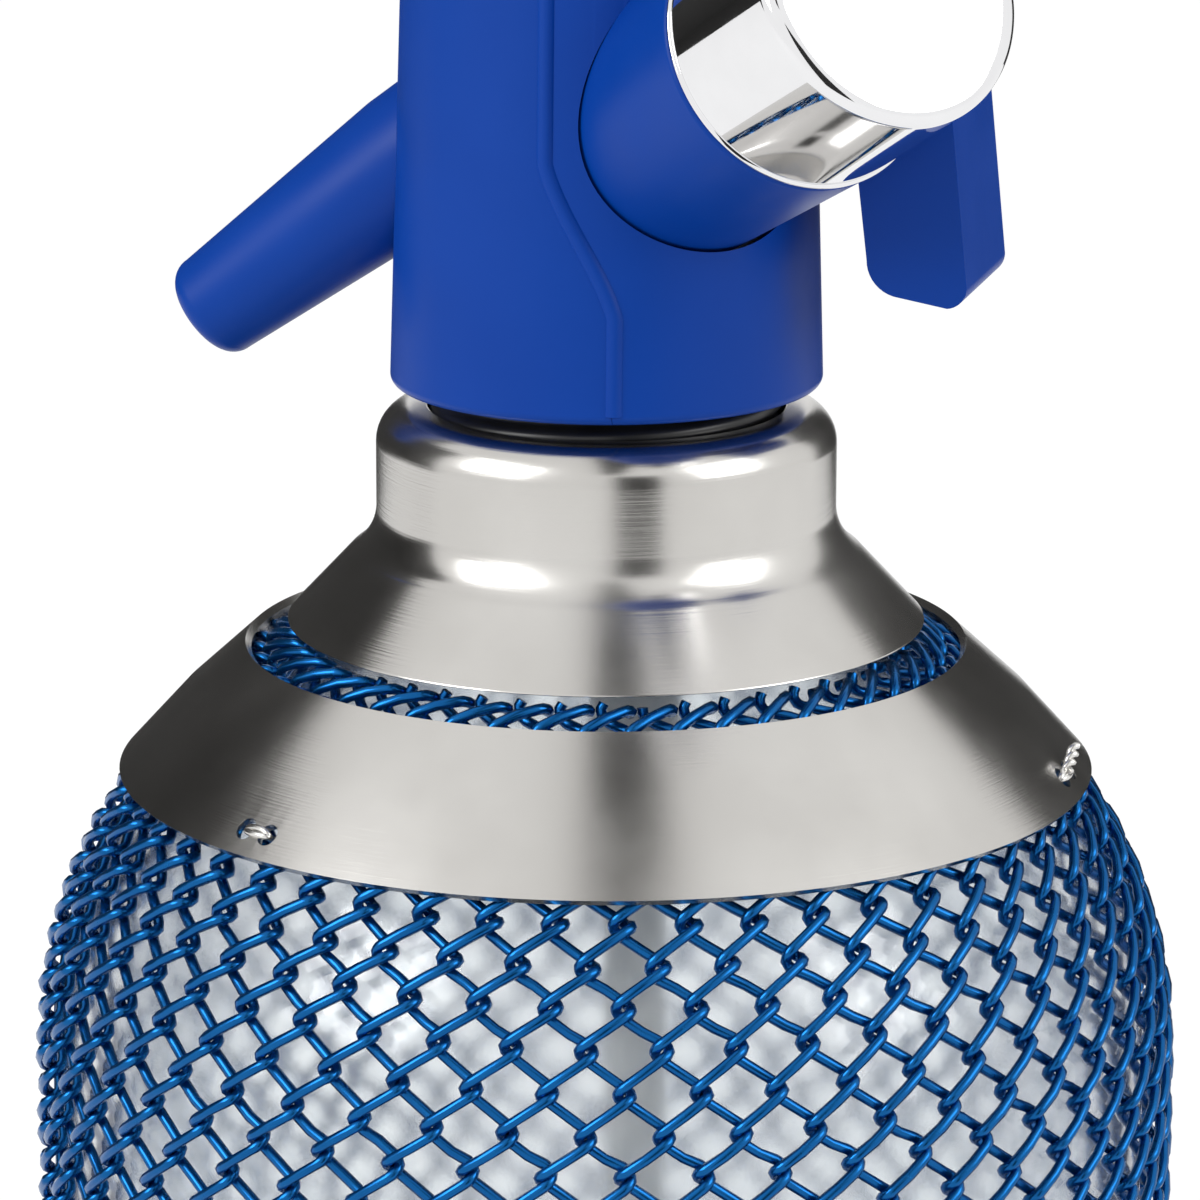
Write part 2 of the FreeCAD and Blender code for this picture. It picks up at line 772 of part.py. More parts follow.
def piercing_pin():
    base = 1.3
    points = [
        (0, seal_floor - base),
        (2 * d.pin_radius, seal_floor - base),
        (2 * d.pin_radius, seal_floor),
        (d.pin_radius, seal_floor),
        (d.pin_radius, capsule_mouth + d.pin_reach - 0.8),
        (0, capsule_mouth + d.pin_reach),
    ]
    return place(turned("piercing_pin", points), **along_capsule())


def charger_seal():
    ring = rod("charger_seal_disc", d.capsule_neck, d.gas_seal, **along_capsule(seal_floor))
    hole = rod("charger_seal_hole", d.pin_radius + 0.3, 9, **along_capsule(seal_floor - 2))
    return cut("charger_seal", ring, [hole])


# Valve block with its drillings
channel_x = d.channel_offset * cosine(d.channel_azimuth)
channel_y = d.channel_offset * sine(d.channel_azimuth)
gas_x = -(d.gas_valve_offset * cosine(d.capsule_azimuth))
gas_y = -(d.gas_valve_offset * sine(d.capsule_azimuth))
gas_valve_height = 2.4


def capsule_bore():
    wide = d.capsule_radius + d.capsule_play
    narrow = d.capsule_neck + d.capsule_play
    far = d.holder_end
    points = [
        (0, seal_floor),
        (narrow, seal_floor),
        (narrow, capsule_mouth + 7.1),
        (wide, capsule_mouth + 15.1),
        (wide, far),
        (0, far),
    ]
    return place(turned("capsule_bore", points), **along_capsule())


def valve_block():
    body = rod("valve_block_body", d.block_radius, d.block_top - gasket_top, z=gasket_top)
    low_channel = gasket_top + 1.5
    high_channel = d.valve_floor + 3
    outlet = d.seat_height + d.seat_thickness + 1.6
    small = 1.2
    across = d.channel_offset - d.valve_bore + 1
    pin_bore = rod("pin_bore", 2 * d.pin_radius, 2, **along_capsule(seal_floor - 1.3))
    tools = [
        capsule_bore(),
        pin_bore,
        rod("riser_socket_bore", d.riser_radius, d.riser_socket, x=d.riser_x, y=d.riser_y,
            z=gasket_top),
        rod("low_drilling", small, d.channel_offset - 2, x=d.riser_x, y=d.riser_y,
            z=low_channel, yaw=d.channel_azimuth + 8, pitch=90),
        rod("upright_drilling", d.channel_radius, high_channel - low_channel + 1,
            x=channel_x, y=channel_y, z=low_channel - small),
        rod("high_drilling", small, across, x=channel_x, y=channel_y,
            z=high_channel - small, yaw=d.channel_azimuth + 180, pitch=90),
        rod("valve_chamber", d.valve_bore, d.block_top - d.valve_floor + 1, z=d.valve_floor),
        rod("outlet_across", 1.4, d.block_radius, x=-(d.valve_bore - 1), z=outlet,
            yaw=180, pitch=90),
        rod("outlet_down", d.channel_radius, outlet - d.spout_height + 8,
            x=-d.outlet_offset, z=d.spout_height - 8),
        rod("outlet_slant", d.spout_bore, 14, **along_spout(12)),
        rod("gas_valve_pocket", d.gas_valve_radius, gas_valve_height, x=gas_x, y=gas_y,
            z=gasket_top),
        rod("gas_drilling", 0.7, 9, x=gas_x, y=gas_y, z=gasket_top + 1,
            yaw=d.capsule_azimuth + 180, pitch=90 - d.gas_drilling_rise),
    ]
    for index, height in enumerate(screw_heights()):
        tools.append(rod("block_screw_hole_%d" % index, d.screw_radius, 10,
                         x=d.block_radius - 5, z=height, yaw=0, pitch=90))
    return cut("valve_block", body, tools)


def passage_plug():
    """Closes the outer end of the outlet's cross drilling."""
    outlet = d.seat_height + d.seat_thickness + 1.6
    return rod("passage_plug", 1.4, 3, x=3.4 - d.block_radius, z=outlet, yaw=180, pitch=90)


def gas_check_valve():
    return rod("gas_check_valve", d.gas_valve_radius, gas_valve_height, x=gas_x, y=gas_y,
               z=gasket_top)


def shell_screws():
    screws = []
    for index, height in enumerate(screw_heights()):
        head_start = d.head_bore + d.screw_depth - 0.9
        shank = rod("shank_%d" % index, d.screw_radius, head_start - d.block_radius + 5,
                    x=d.block_radius - 5, z=height, yaw=0, pitch=90)
        head = rod("screw_head_%d" % index, d.screw_head, d.screw_depth - 0.2, x=head_start,
                   z=height, yaw=0, pitch=90)
        screws += [shank, head]
    return fused("shell_screws", screws)


def spout():
    """A cone with a blunt rounded tip, scooped to the valve block at its root."""
    rounding = 1.6
    points = [
        (d.spout_bore, 12),
        (d.spout_root_radius, 12),
        (d.spout_root_radius, d.spout_root + 4),
        (d.spout_tip_radius, d.spout_length - rounding),
        (d.spout_tip_radius - rounding, d.spout_length, rounding),
        (d.spout_bore, d.spout_length),
    ]
    cone = place(turned("spout_cone", points), **along_spout())
    scoop = rod("spout_scoop", d.block_radius + 0.1, 90, z=d.head_bottom)
    return cut("spout", cone, [scoop])


# Tubes that hang from the head into the bottle
def tube(label, outer, inner, bottom, top):
    body = rod(label + "_outside", outer, top - bottom, x=d.riser_x, y=d.riser_y, z=bottom)
    hole = rod(label + "_inside", inner, top - bottom + 2, x=d.riser_x, y=d.riser_y,
               z=bottom - 1)
    return cut(label, body, [hole])


def riser_strainer():
    """A slotted cup on the riser's lower end."""
    low = d.riser_bottom - 3
    cup = rod("strainer_cup", d.riser_radius + 1.2, 8, x=d.riser_x, y=d.riser_y, z=low)
    hole = rod("strainer_bore", d.riser_radius, 8, x=d.riser_x, y=d.riser_y,
               z=d.riser_bottom)
    throat = rod("strainer_throat", d.riser_radius - 1, 8, x=d.riser_x, y=d.riser_y,
                 z=low + 1)
    slots = []
    for index in range(3):
        slot = rod("strainer_slot_%d" % index, 0.6, 12, x=d.riser_x, y=d.riser_y,
                   z=low + 1.8, yaw=120 * index, pitch=90)
        slots.append(slot)
    return cut("riser_strainer", cup, [hole, throat] + slots)


# Outlet valve above the capsule
def valve_seat():
    ring = rod("seat_disc", d.valve_bore, d.seat_thickness, z=d.seat_height)
    hole = rod("seat_hole", d.seat_bore, d.seat_thickness, z=d.seat_height)
    return cut("valve_seat", ring, [hole])


washer_top = d.seat_height - d.washer_gap
washer_bottom = washer_top - d.washer_thickness
disc_bottom = washer_bottom - d.disc_thickness
stem_top = d.pivot_height - 0.3


def valve_stem():
    neck = stem_top - 2.4
    points = [
        (0, disc_bottom - 1.2),
        (d.stem_radius, disc_bottom - 1.2),
        (d.stem_radius, disc_bottom),
        (d.washer_radius, disc_bottom),
        (d.washer_radius, washer_bottom),
        (d.stem_radius, washer_bottom),
        (d.stem_radius, neck),
        (d.stem_button, neck),
        (d.stem_button, stem_top - 0.6),
        (d.stem_button - 0.6, stem_top),
        (0, stem_top),
    ]
    return turned("valve_stem", points)


def valve_washer():
    ring = rod("washer_disc", d.washer_radius, d.washer_thickness, z=washer_bottom)
    hole = rod("washer_hole", d.stem_radius, d.washer_thickness, z=washer_bottom)
    return cut("valve_washer", ring, [hole])


def valve_spring():
    """A short coil between the chamber's floor and the stem's disc."""
    clear = 0.25
    low = d.valve_floor + d.spring_wire / 2 + clear
    high = disc_bottom - d.spring_wire / 2 - clear
    helix = doc.addObject("Part::Helix", "spring_helix")
    helix.setExpression("Radius", d.spring_radius.text)
    helix.setExpression("Pitch", ((high - low) / d.spring_turns).text)
    helix.setExpression("Height", (high - low).text)
    place(helix, z=low)
    wire = doc.addObject("Part::Circle", "spring_wire")
    wire.setExpression("Radius", (d.spring_wire / 2).text)
    place(wire, x=d.spring_radius, z=low, roll=90)
    coil = doc.addObject("Part::Sweep", "valve_spring")
    coil.Sections = [wire]
    coil.Spine = (helix, [])
    coil.Solid = True
    coil.Frenet = True
    return coil


def stem_gland():
    """Guides the stem and clamps its seal."""
    bore = d.stem_radius + d.stem_fit
    rest = d.valve_bore
    points = [
        (bore, d.gland_bottom + 1.5),
        (rest, d.gland_bottom + 1.5),
        (rest, d.head_top + 1),
        (bore, d.head_top + 1),
    ]
    return turned("stem_gland", points)


def stem_seal():
    points = [
        (d.stem_radius + d.stem_fit, d.gland_bottom),
        (d.valve_bore - 0.1, d.gland_bottom),
        (d.valve_bore - 0.1, d.gland_bottom + 1.5),
        (d.stem_radius + d.stem_fit, d.gland_bottom + 1.5),
    ]
    return turned("stem_seal", points)


def lever_bracket():
    """A disc on the block with an upright lug for the lever's pin."""
    foot_top = d.head_top + d.bracket_height
    foot = rod("bracket_foot", d.head_opening - 0.2, foot_top - d.block_top, z=d.block_top)
    bar = block("bracket_bar",
                (d.pivot_x - d.lug_radius, -(d.lug_width / 2), foot_top - 0.2),
                (-(d.valve_bore - 1), d.lug_width / 2, foot_top + 2))
    lug = block("bracket_lug",
                (d.pivot_x - d.lug_radius, -(d.lug_width / 2), foot_top - 0.2),
                (d.pivot_x + d.lug_radius, d.lug_width / 2, d.pivot_height))
    eye = rod("bracket_eye", d.lug_radius, d.lug_width, x=d.pivot_x, y=d.lug_width / 2,
              z=d.pivot_height, roll=90)
    solid = fused("bracket_solid", [foot, bar, lug, eye])
    hole = rod("bracket_hole", d.pivot_radius, d.lug_width + 4, x=d.pivot_x,
               y=d.lug_width / 2 + 2, z=d.pivot_height, roll=90)
    gland = rod("bracket_gland_hole", d.valve_bore, 40, z=d.block_top - 5)
    return cut("lever_bracket", solid, [hole, gland])


def lever_pin():
    length = d.lever_width - 0.6
    return rod("lever_pin", d.pivot_radius, length, x=d.pivot_x, y=length / 2,
               z=d.pivot_height, roll=90)


def corner_cutter(side, tail_out):
    """Bevels one outer corner of the lever's grip."""
    reach = 10
    lean = 4
    back = reach * cosine(45)
    box = doc.addObject("Part::Box", "grip_corner_%d" % (side + 1))
    box.Length = 2 * reach
    box.Width = 2 * reach
    box.Height = 60
    flat = d.lever_width / 2 - d.lever_edge
    return place(box, x=tail_out + side * back, y=side * flat - back,
                 z=d.lever_bottom - 2, yaw=side * 45, pitch=-lean)


def boss_rooms():
    """Room for the boss and the holder, from the lever at rest to the pressed lever."""
    rooms = []
    for step in range(3):
        spot = along_capsule(size(15))
        spot["x"] = spot["x"] + 1.7 * step
        spot["z"] = spot["z"] + 1.9 * step
        rooms.append(rod("lever_boss_room_%d" % step, boss_radius + 1.2, 55, **spot))
    return rooms


def lever():
    """A hood over the head's top that bends down into a grip behind it."""
    inner_top = d.head_top + 3.6
    nose = d.pivot_x - 6.5
    tail_out = d.lever_reach + d.lever_thickness
    grip_top = d.head_top - 8
    points = [
        (d.lever_reach, d.lever_bottom),
        (tail_out - 1.8, d.lever_bottom - 1),
        (tail_out, d.lever_bottom + 1, 2),
        (tail_out - 3.8, grip_top),
        (8, d.lever_top, 30),
        (nose + 9, d.lever_top - 2),
        (nose, d.lever_top - 10, 9),
        (nose, d.head_top + 2),
        (nose + 6, d.head_top + 1.4),
        (d.head_top_radius - 8.5, inner_top),
        (d.head_top_radius + 3.8, grip_top, -13),
    ]
    body = slab("lever_form", points, d.lever_width)
    corners = [corner_cutter(side, tail_out) for side in (-1, 1)]
    half = d.lever_slot / 2
    low = d.head_top - 6
    lug_room = block("lug_room", (nose + 1.6, -half, low),
                     (d.pivot_x + 7, half, d.pivot_height + d.lug_radius + 0.4))
    stem_room = block("stem_room", (d.pivot_x + 6, -half, low), (6.5, half, d.pivot_height))
    pin_hole = rod("lever_pin_hole", d.pivot_radius + d.pivot_fit, d.lever_width + 4,
                   x=d.pivot_x, y=d.lever_width / 2 + 2, z=d.pivot_height, roll=90)
    return cut("lever", body, [lug_room, stem_room, pin_hole] + corners + boss_rooms())


# All pieces
keep(foot_pad())
keep(glass_bottle())
keep(mesh_sleeve())
for piece in base_ring() + shoulder_ring():
    keep(piece)
keep(neck_collar())
keep(split_ring("split_ring_front", 1))
keep(split_ring("split_ring_rear", 181))
keep(head_gasket())
keep(threaded_stub())
for piece in head_shells():
    keep(piece)
keep(valve_block())
for piece in boss_pieces():
    keep(piece)
keep(piercing_pin())
keep(charger_seal())
keep(gas_check_valve())
keep(passage_plug())
keep(shell_screws())
keep(spout())
keep(tube("riser_tube", d.riser_radius, d.riser_radius - d.riser_wall, d.riser_bottom,
          gasket_top + d.riser_socket))
keep(tube("measuring_tube", d.measure_radius, d.measure_radius - d.measure_wall,
          d.measure_bottom, gasket_top))
keep(riser_strainer())
keep(valve_seat())
keep(valve_spring())
keep(stem_gland())
keep(stem_seal())
keep(lever_bracket())
keep(lever_pin())
keep(valve_stem())
keep(valve_washer())
keep(lever())
keep(co2_charger())
keep(charger_holder())
keep(holder_cushion())
doc.recompute()

# Every feature and every finished piece is sound before anything is written
for item in doc.Objects:
    if "Invalid" in item.State or "Error" in item.State:
        raise RuntimeError("%s could not be made: %s" % (item.Label, item.State))
for item in nodes:
    if item.Shape.isNull() or not item.Shape.isValid() or item.Shape.Volume <= 0:
        raise RuntimeError("%s is not a sound solid" % item.Label)

os.makedirs("parts", exist_ok=True)
for item in nodes:
    item.Shape.exportStep(os.path.join("parts", item.Label + ".step"))
    box = item.Shape.BoundBox
    print("%-22s %2d solids %9.1f mm3  z %.1f to %.1f" % (
        item.Label, len(item.Shape.Solids), item.Shape.Volume, box.ZMin, box.ZMax))
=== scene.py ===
# %% [markdown]
# A soda siphon
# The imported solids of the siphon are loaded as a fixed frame. What shows from outside is then
# modelled again with smooth faces and fine edges, because turned metal, moulded plastic and
# wire need rounder forms than the solids' triangles. The hidden pieces keep their solids.

# %% Load the frame
import bpy
import json
import math
from mathutils import Matrix, Vector


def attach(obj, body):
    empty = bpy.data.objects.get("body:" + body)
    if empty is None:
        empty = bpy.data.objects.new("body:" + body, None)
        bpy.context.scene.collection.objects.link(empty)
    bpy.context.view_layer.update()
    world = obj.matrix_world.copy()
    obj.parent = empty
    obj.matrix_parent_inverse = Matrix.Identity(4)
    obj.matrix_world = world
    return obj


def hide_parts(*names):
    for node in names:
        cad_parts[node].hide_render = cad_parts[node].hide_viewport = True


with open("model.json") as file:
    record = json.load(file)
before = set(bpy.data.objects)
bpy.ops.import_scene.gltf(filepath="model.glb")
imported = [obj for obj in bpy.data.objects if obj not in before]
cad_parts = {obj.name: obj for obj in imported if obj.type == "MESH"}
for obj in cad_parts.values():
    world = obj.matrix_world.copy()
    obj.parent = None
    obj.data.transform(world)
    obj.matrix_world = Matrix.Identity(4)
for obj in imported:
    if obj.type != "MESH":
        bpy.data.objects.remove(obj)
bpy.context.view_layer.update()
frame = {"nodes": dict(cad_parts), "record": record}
print("pieces in the frame:", len(frame["nodes"]))

MM = 0.001

# %% [markdown]
# The main sizes
# These are the siphon's sizes in millimetres, as a turner's drawing gives them. Pieces that
# touch take their sizes from the same names, so that they still meet when a size changes. A
# size that only one piece needs stands beside that piece.

# %% Sizes
SLEEVE_RADIUS = 55.2
SLEEVE_DEPTH = 2.6
SLEEVE_GAP = 0.3
SHOULDER_START = 162.1
SHOULDER_ARC = 42
SHOULDER_TOP = 36
DOME_ARC = 20
HEEL_ARC = 15.1
FOOT_TOP = 4.2
GLASS_WALL = 4.7
GLASS_FLOOR = 10.2
NECK_RADIUS = 12.6
NECK_BORE = 8.5
LIP_HEIGHT = 230.5
HEAD_BOTTOM = 226.5
HEAD_RADIUS = 20.5
HEAD_TOP_RADIUS = 19
HEAD_TOP = 284
HEAD_CROWN = 8
HEAD_BORE = 17.3
THREAD_RADIUS = 16.8
CAPSULE_AZIMUTH = -43
CAPSULE_RISE = 27.6
CAPSULE_HEIGHT = 245.9
SPOUT_HEIGHT = 261
SPOUT_DROP = 37
PIVOT = (-12, 291)
CAMERA_AZIMUTH = 15

HALF = math.sqrt(0.5)
shoulder_centre = SLEEVE_RADIUS - SHOULDER_ARC
shoulder_sum = shoulder_centre + SHOULDER_START + SHOULDER_ARC * 2 * HALF
dome_centre = (SHOULDER_TOP - DOME_ARC * HALF, shoulder_sum - SHOULDER_TOP - DOME_ARC * HALF)
heel_centre = (SLEEVE_RADIUS - HEEL_ARC, FOOT_TOP + HEEL_ARC - SLEEVE_DEPTH - SLEEVE_GAP)
print("shoulder line: radius + height =", round(shoulder_sum, 2), "mm")

# %% [markdown]
# Outlines that can be turned
# A lathe piece is one outline swept about the axis. An outline here is a list of (radius,
# height) points, and a third number says that an arc of that radius leads to the point,
# bending left when it is positive. The Spin tool turns the outline into a closed piece.

# %% Outlines
ARC_STEP = math.radians(9)


def arc_points(start, end, radius):
    """Points on the arc from start to end, without start."""
    a = Vector(start)
    b = Vector(end)
    reach = abs(radius)
    half = (b - a).length / 2
    rise = math.sqrt(max(reach * reach - half * half, 0))
    left = Vector((a.y - b.y, b.x - a.x)).normalized()
    side = 1 if radius > 0 else -1
    centre = (a + b) / 2 + left * rise * side
    first = math.atan2(a.y - centre.y, a.x - centre.x)
    sweep = 2 * math.asin(min(half / reach, 1)) * side
    steps = max(2, int(abs(sweep) / ARC_STEP) + 1)
    points = []
    for step in range(1, steps + 1):
        angle = first + sweep * step / steps
        points.append((centre.x + reach * math.cos(angle), centre.y + reach * math.sin(angle)))
    return points


def outline(corners):
    """Corners with arcs as one list of points."""
    points = []
    previous = corners[-1]
    for corner in corners:
        if len(corner) > 2:
            points += arc_points(previous[:2], corner[:2], corner[2])
        else:
            points.append((corner[0], corner[1]))
        previous = corner
    return points


print("points on a quarter circle:", len(arc_points((1, 0), (0, 1), 1)))

# %% Turned pieces


def deselect():
    if bpy.context.object and bpy.context.object.mode != "OBJECT":
        bpy.ops.object.mode_set(mode="OBJECT")
    bpy.ops.object.select_all(action="DESELECT")


def loop_piece(name, points, at=lambda x, y: (x, 0, y)):
    """A circle primitive whose corners are moved onto an outline."""
    deselect()
    bpy.ops.mesh.primitive_circle_add(vertices=len(points), radius=1, fill_type="NOTHING")
    piece = bpy.context.object
    piece.name = name
    piece.data.name = name
    for vertex, (x, y) in zip(piece.data.vertices, points):
        vertex.co = Vector(at(x, y)) * MM
    return piece


def turned(name, corners, steps=128, smooth=32):
    """An outline spun about Z into a closed piece."""
    points = outline(corners)
    piece = loop_piece(name, points)
    on_axis = [abs(x) < 1e-6 for x, y in points]
    for edge in piece.data.edges:
        edge.select = on_axis[edge.vertices[0]] and on_axis[edge.vertices[1]]
    has_axis = any(edge.select for edge in piece.data.edges)
    for vertex in piece.data.vertices:
        vertex.select = False
    bpy.ops.object.mode_set(mode="EDIT")
    bpy.ops.mesh.select_mode(type="EDGE")
    if has_axis:
        bpy.ops.mesh.delete(type="EDGE")
    bpy.ops.mesh.select_mode(type="VERT")
    bpy.ops.mesh.select_all(action="SELECT")
    bpy.ops.mesh.spin(steps=steps, angle=math.tau, center=(0, 0, 0), axis=(0, 0, 1))
    bpy.ops.mesh.select_all(action="SELECT")
    bpy.ops.mesh.remove_doubles(threshold=0.000004)
    bpy.ops.mesh.normals_make_consistent(inside=False)
    bpy.ops.object.mode_set(mode="OBJECT")
    bpy.ops.object.shade_smooth_by_angle(angle=math.radians(smooth))
    return piece


# %% [markdown]
# Cutting and rounding
# Openings are cut with the Boolean modifier, as a drill or a saw would cut them, and each
# modifier is applied at once. Moulded and turned edges are never razor sharp, so a Bevel
# modifier rounds them, and Weighted Normal keeps the large faces beside them even.

# %% Cut and soften


def carve(piece, cutters, operation="DIFFERENCE"):
    """Applies one boolean for each cutter and deletes the cutters."""
    for cutter in cutters:
        deselect()
        bpy.context.view_layer.objects.active = piece
        piece.select_set(True)
        modifier = piece.modifiers.new("cut", "BOOLEAN")
        modifier.operation = operation
        modifier.solver = "EXACT"
        modifier.object = cutter
        bpy.ops.object.modifier_apply(modifier="cut")
        bpy.data.objects.remove(cutter, do_unlink=True)
    return piece


def soften(piece, width, segments=2, angle=35):
    """Rounds the sharp edges and smooths the faces between them."""
    deselect()
    bpy.context.view_layer.objects.active = piece
    piece.select_set(True)
    modifier = piece.modifiers.new("edges", "BEVEL")
    modifier.width = width * MM
    modifier.segments = segments
    modifier.limit_method = "ANGLE"
    modifier.angle_limit = math.radians(angle)
    modifier.use_clamp_overlap = True
    bpy.ops.object.modifier_apply(modifier="edges")
    bpy.ops.object.shade_smooth_by_angle(angle=math.radians(40))
    even = piece.modifiers.new("even", "WEIGHTED_NORMAL")
    even.keep_sharp = True
    bpy.ops.object.modifier_apply(modifier="even")
    return piece


# %% Cutters


def rod(name, radius, length, start, direction, vertices=64):
    """A cylinder from a start point along a direction."""
    deselect()
    bpy.ops.mesh.primitive_cylinder_add(vertices=vertices, radius=radius * MM, depth=length * MM)
    piece = bpy.context.object
    piece.name = name
    turn = Vector(direction).to_track_quat("Z", "Y").to_matrix().to_4x4()
    middle = Vector(start) * MM + Vector(direction).normalized() * length * MM / 2
    piece.data.transform(Matrix.Translation(middle) @ turn)
    return piece


def cuboid(name, low, high):
    """A box between two corners."""
    deselect()
    bpy.ops.mesh.primitive_cube_add(size=1)
    piece = bpy.context.object
    piece.name = name
    size = [(b - a) * MM for a, b in zip(low, high)]
    middle = [(a + b) / 2 * MM for a, b in zip(low, high)]
    piece.data.transform(Matrix.Translation(middle) @ Matrix.Diagonal((*size, 1)))
    return piece


# %% Finishing a piece


def finish_piece(piece, body, material, nodes=()):
    """Gives a piece its finish and its body, and hides the solids that it stands for."""
    piece.data.materials.clear()
    piece.data.materials.append(material)
    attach(piece, body)
    if nodes:
        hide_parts(*nodes)
    print(piece.name, "faces:", len(piece.data.polygons))
    return piece


# %% [markdown]
# Slanting axes
# The capsule holder and the spout stand on the head at a slant. Their pieces are turned
# upright, where an outline is easy to read, and one matrix then tips the mesh onto its axis.

# %% Axes of holder and spout


def slant_matrix(azimuth, rise, height):
    """Stands a piece that was turned about Z onto a slanting axis of the siphon."""
    turn = Matrix.Rotation(math.radians(azimuth), 4, "Z")
    tip = Matrix.Rotation(math.radians(90 - rise), 4, "Y")
    return Matrix.Translation((0, 0, height * MM)) @ turn @ tip


capsule_axis = slant_matrix(CAPSULE_AZIMUTH, CAPSULE_RISE, CAPSULE_HEIGHT)
spout_axis = slant_matrix(180, -SPOUT_DROP, SPOUT_HEIGHT)
capsule_way = capsule_axis.to_3x3() @ Vector((0, 0, 1))
spout_way = spout_axis.to_3x3() @ Vector((0, 0, 1))
print("capsule axis points to", [round(value, 3) for value in capsule_way])

# %% [markdown]
# Shared effects for the finishes
# Real surfaces are never one even colour: moulded plastic has a faint grain, and brushed steel
# has fine lines that run round the piece. Each effect is one node group, built once, so that
# every material can use it with its own scale and strength.

# %% Node groups


def new_group(name, inputs, outputs):
    group = bpy.data.node_groups.new(name, "ShaderNodeTree")
    for label, kind, value in inputs:
        socket = group.interface.new_socket(label, in_out="INPUT", socket_type=kind)
        socket.default_value = value
    for label, kind in outputs:
        group.interface.new_socket(label, in_out="OUTPUT", socket_type=kind)
    start = group.nodes.new("NodeGroupInput")
    end = group.nodes.new("NodeGroupOutput")
    return group, start, end


def mottle_group():
    """Two colours mixed by soft noise, with a value that follows it."""
    group, start, end = new_group(
        "mottle",
        [("Scale", "NodeSocketFloat", 200.0), ("Dark", "NodeSocketColor", (0, 0, 0, 1)),
         ("Light", "NodeSocketColor", (1, 1, 1, 1)), ("Low", "NodeSocketFloat", 0.3),
         ("High", "NodeSocketFloat", 0.5)],
        [("Color", "NodeSocketColor"), ("Value", "NodeSocketFloat")])
    place = group.nodes.new("ShaderNodeTexCoord")
    noise = group.nodes.new("ShaderNodeTexNoise")
    noise.inputs["Detail"].default_value = 5
    mix = group.nodes.new("ShaderNodeMix")
    mix.data_type = "RGBA"
    spread = group.nodes.new("ShaderNodeMapRange")
    spread.inputs["From Min"].default_value = 0.3
    spread.inputs["From Max"].default_value = 0.7
    link = group.links.new
    link(place.outputs["Object"], noise.inputs["Vector"])
    link(start.outputs["Scale"], noise.inputs["Scale"])
    link(noise.outputs["Fac"], spread.inputs["Value"])
    link(start.outputs["Low"], spread.inputs["To Min"])
    link(start.outputs["High"], spread.inputs["To Max"])
    link(noise.outputs["Fac"], mix.inputs["Factor"])
    link(start.outputs["Dark"], mix.inputs["A"])
    link(start.outputs["Light"], mix.inputs["B"])
    link(mix.outputs["Result"], end.inputs["Color"])
    link(spread.outputs["Result"], end.inputs["Value"])
    return group


def grain_group():
    """A fine bump, stretched by a factor for each axis."""
    group, start, end = new_group(
        "grain",
        [("Stretch", "NodeSocketVector", (1, 1, 1)), ("Scale", "NodeSocketFloat", 2000.0),
         ("Strength", "NodeSocketFloat", 0.1), ("Depth", "NodeSocketFloat", 0.00005)],
        [("Normal", "NodeSocketVector")])
    place = group.nodes.new("ShaderNodeTexCoord")
    stretch = group.nodes.new("ShaderNodeVectorMath")
    stretch.operation = "MULTIPLY"
    noise = group.nodes.new("ShaderNodeTexNoise")
    noise.inputs["Detail"].default_value = 3
    bump = group.nodes.new("ShaderNodeBump")
    link = group.links.new
    link(place.outputs["Object"], stretch.inputs[0])
    link(start.outputs["Stretch"], stretch.inputs[1])
    link(stretch.outputs["Vector"], noise.inputs["Vector"])
    link(start.outputs["Scale"], noise.inputs["Scale"])
    link(noise.outputs["Fac"], bump.inputs["Height"])
    link(start.outputs["Strength"], bump.inputs["Strength"])
    link(start.outputs["Depth"], bump.inputs["Distance"])
    link(bump.outputs["Normal"], end.inputs["Normal"])
    return group


MOTTLE = mottle_group()
GRAIN = grain_group()
print("node groups:", MOTTLE.name, GRAIN.name)

# %% [markdown]
# Finishes
# Each finish is one Principled shader with plain numbers for what is the same all over, and
# the two groups for what changes over the surface. The blue plastic is satin, the wire is
# anodised aluminium, the rings are brushed round and the capsule holder is polished chrome.

# %% Material helper


def finish(name, dark, light, low, high, scale=200.0, metallic=0.0, grain=2000.0,
           stretch=(1, 1, 1), strength=0.08, depth=0.00003, **plain):
    """A material from a pair of colours, a roughness range and a grain."""
    material = bpy.data.materials.new(name)
    material.use_nodes = True
    tree = material.node_tree
    shader = tree.nodes["Principled BSDF"]
    mottle = tree.nodes.new("ShaderNodeGroup")
    mottle.node_tree = MOTTLE
    mottle.inputs["Scale"].default_value = scale
    mottle.inputs["Dark"].default_value = (*dark, 1)
    mottle.inputs["Light"].default_value = (*light, 1)
    mottle.inputs["Low"].default_value = low
    mottle.inputs["High"].default_value = high
    bump = tree.nodes.new("ShaderNodeGroup")
    bump.node_tree = GRAIN
    bump.inputs["Stretch"].default_value = stretch
    bump.inputs["Scale"].default_value = grain
    bump.inputs["Strength"].default_value = strength
    bump.inputs["Depth"].default_value = depth
    tree.links.new(mottle.outputs["Color"], shader.inputs["Base Color"])
    tree.links.new(mottle.outputs["Value"], shader.inputs["Roughness"])
    tree.links.new(bump.outputs["Normal"], shader.inputs["Normal"])
    shader.inputs["Metallic"].default_value = metallic
    for socket, value in plain.items():
        shader.inputs[socket.replace("_", " ")].default_value = value
    return material


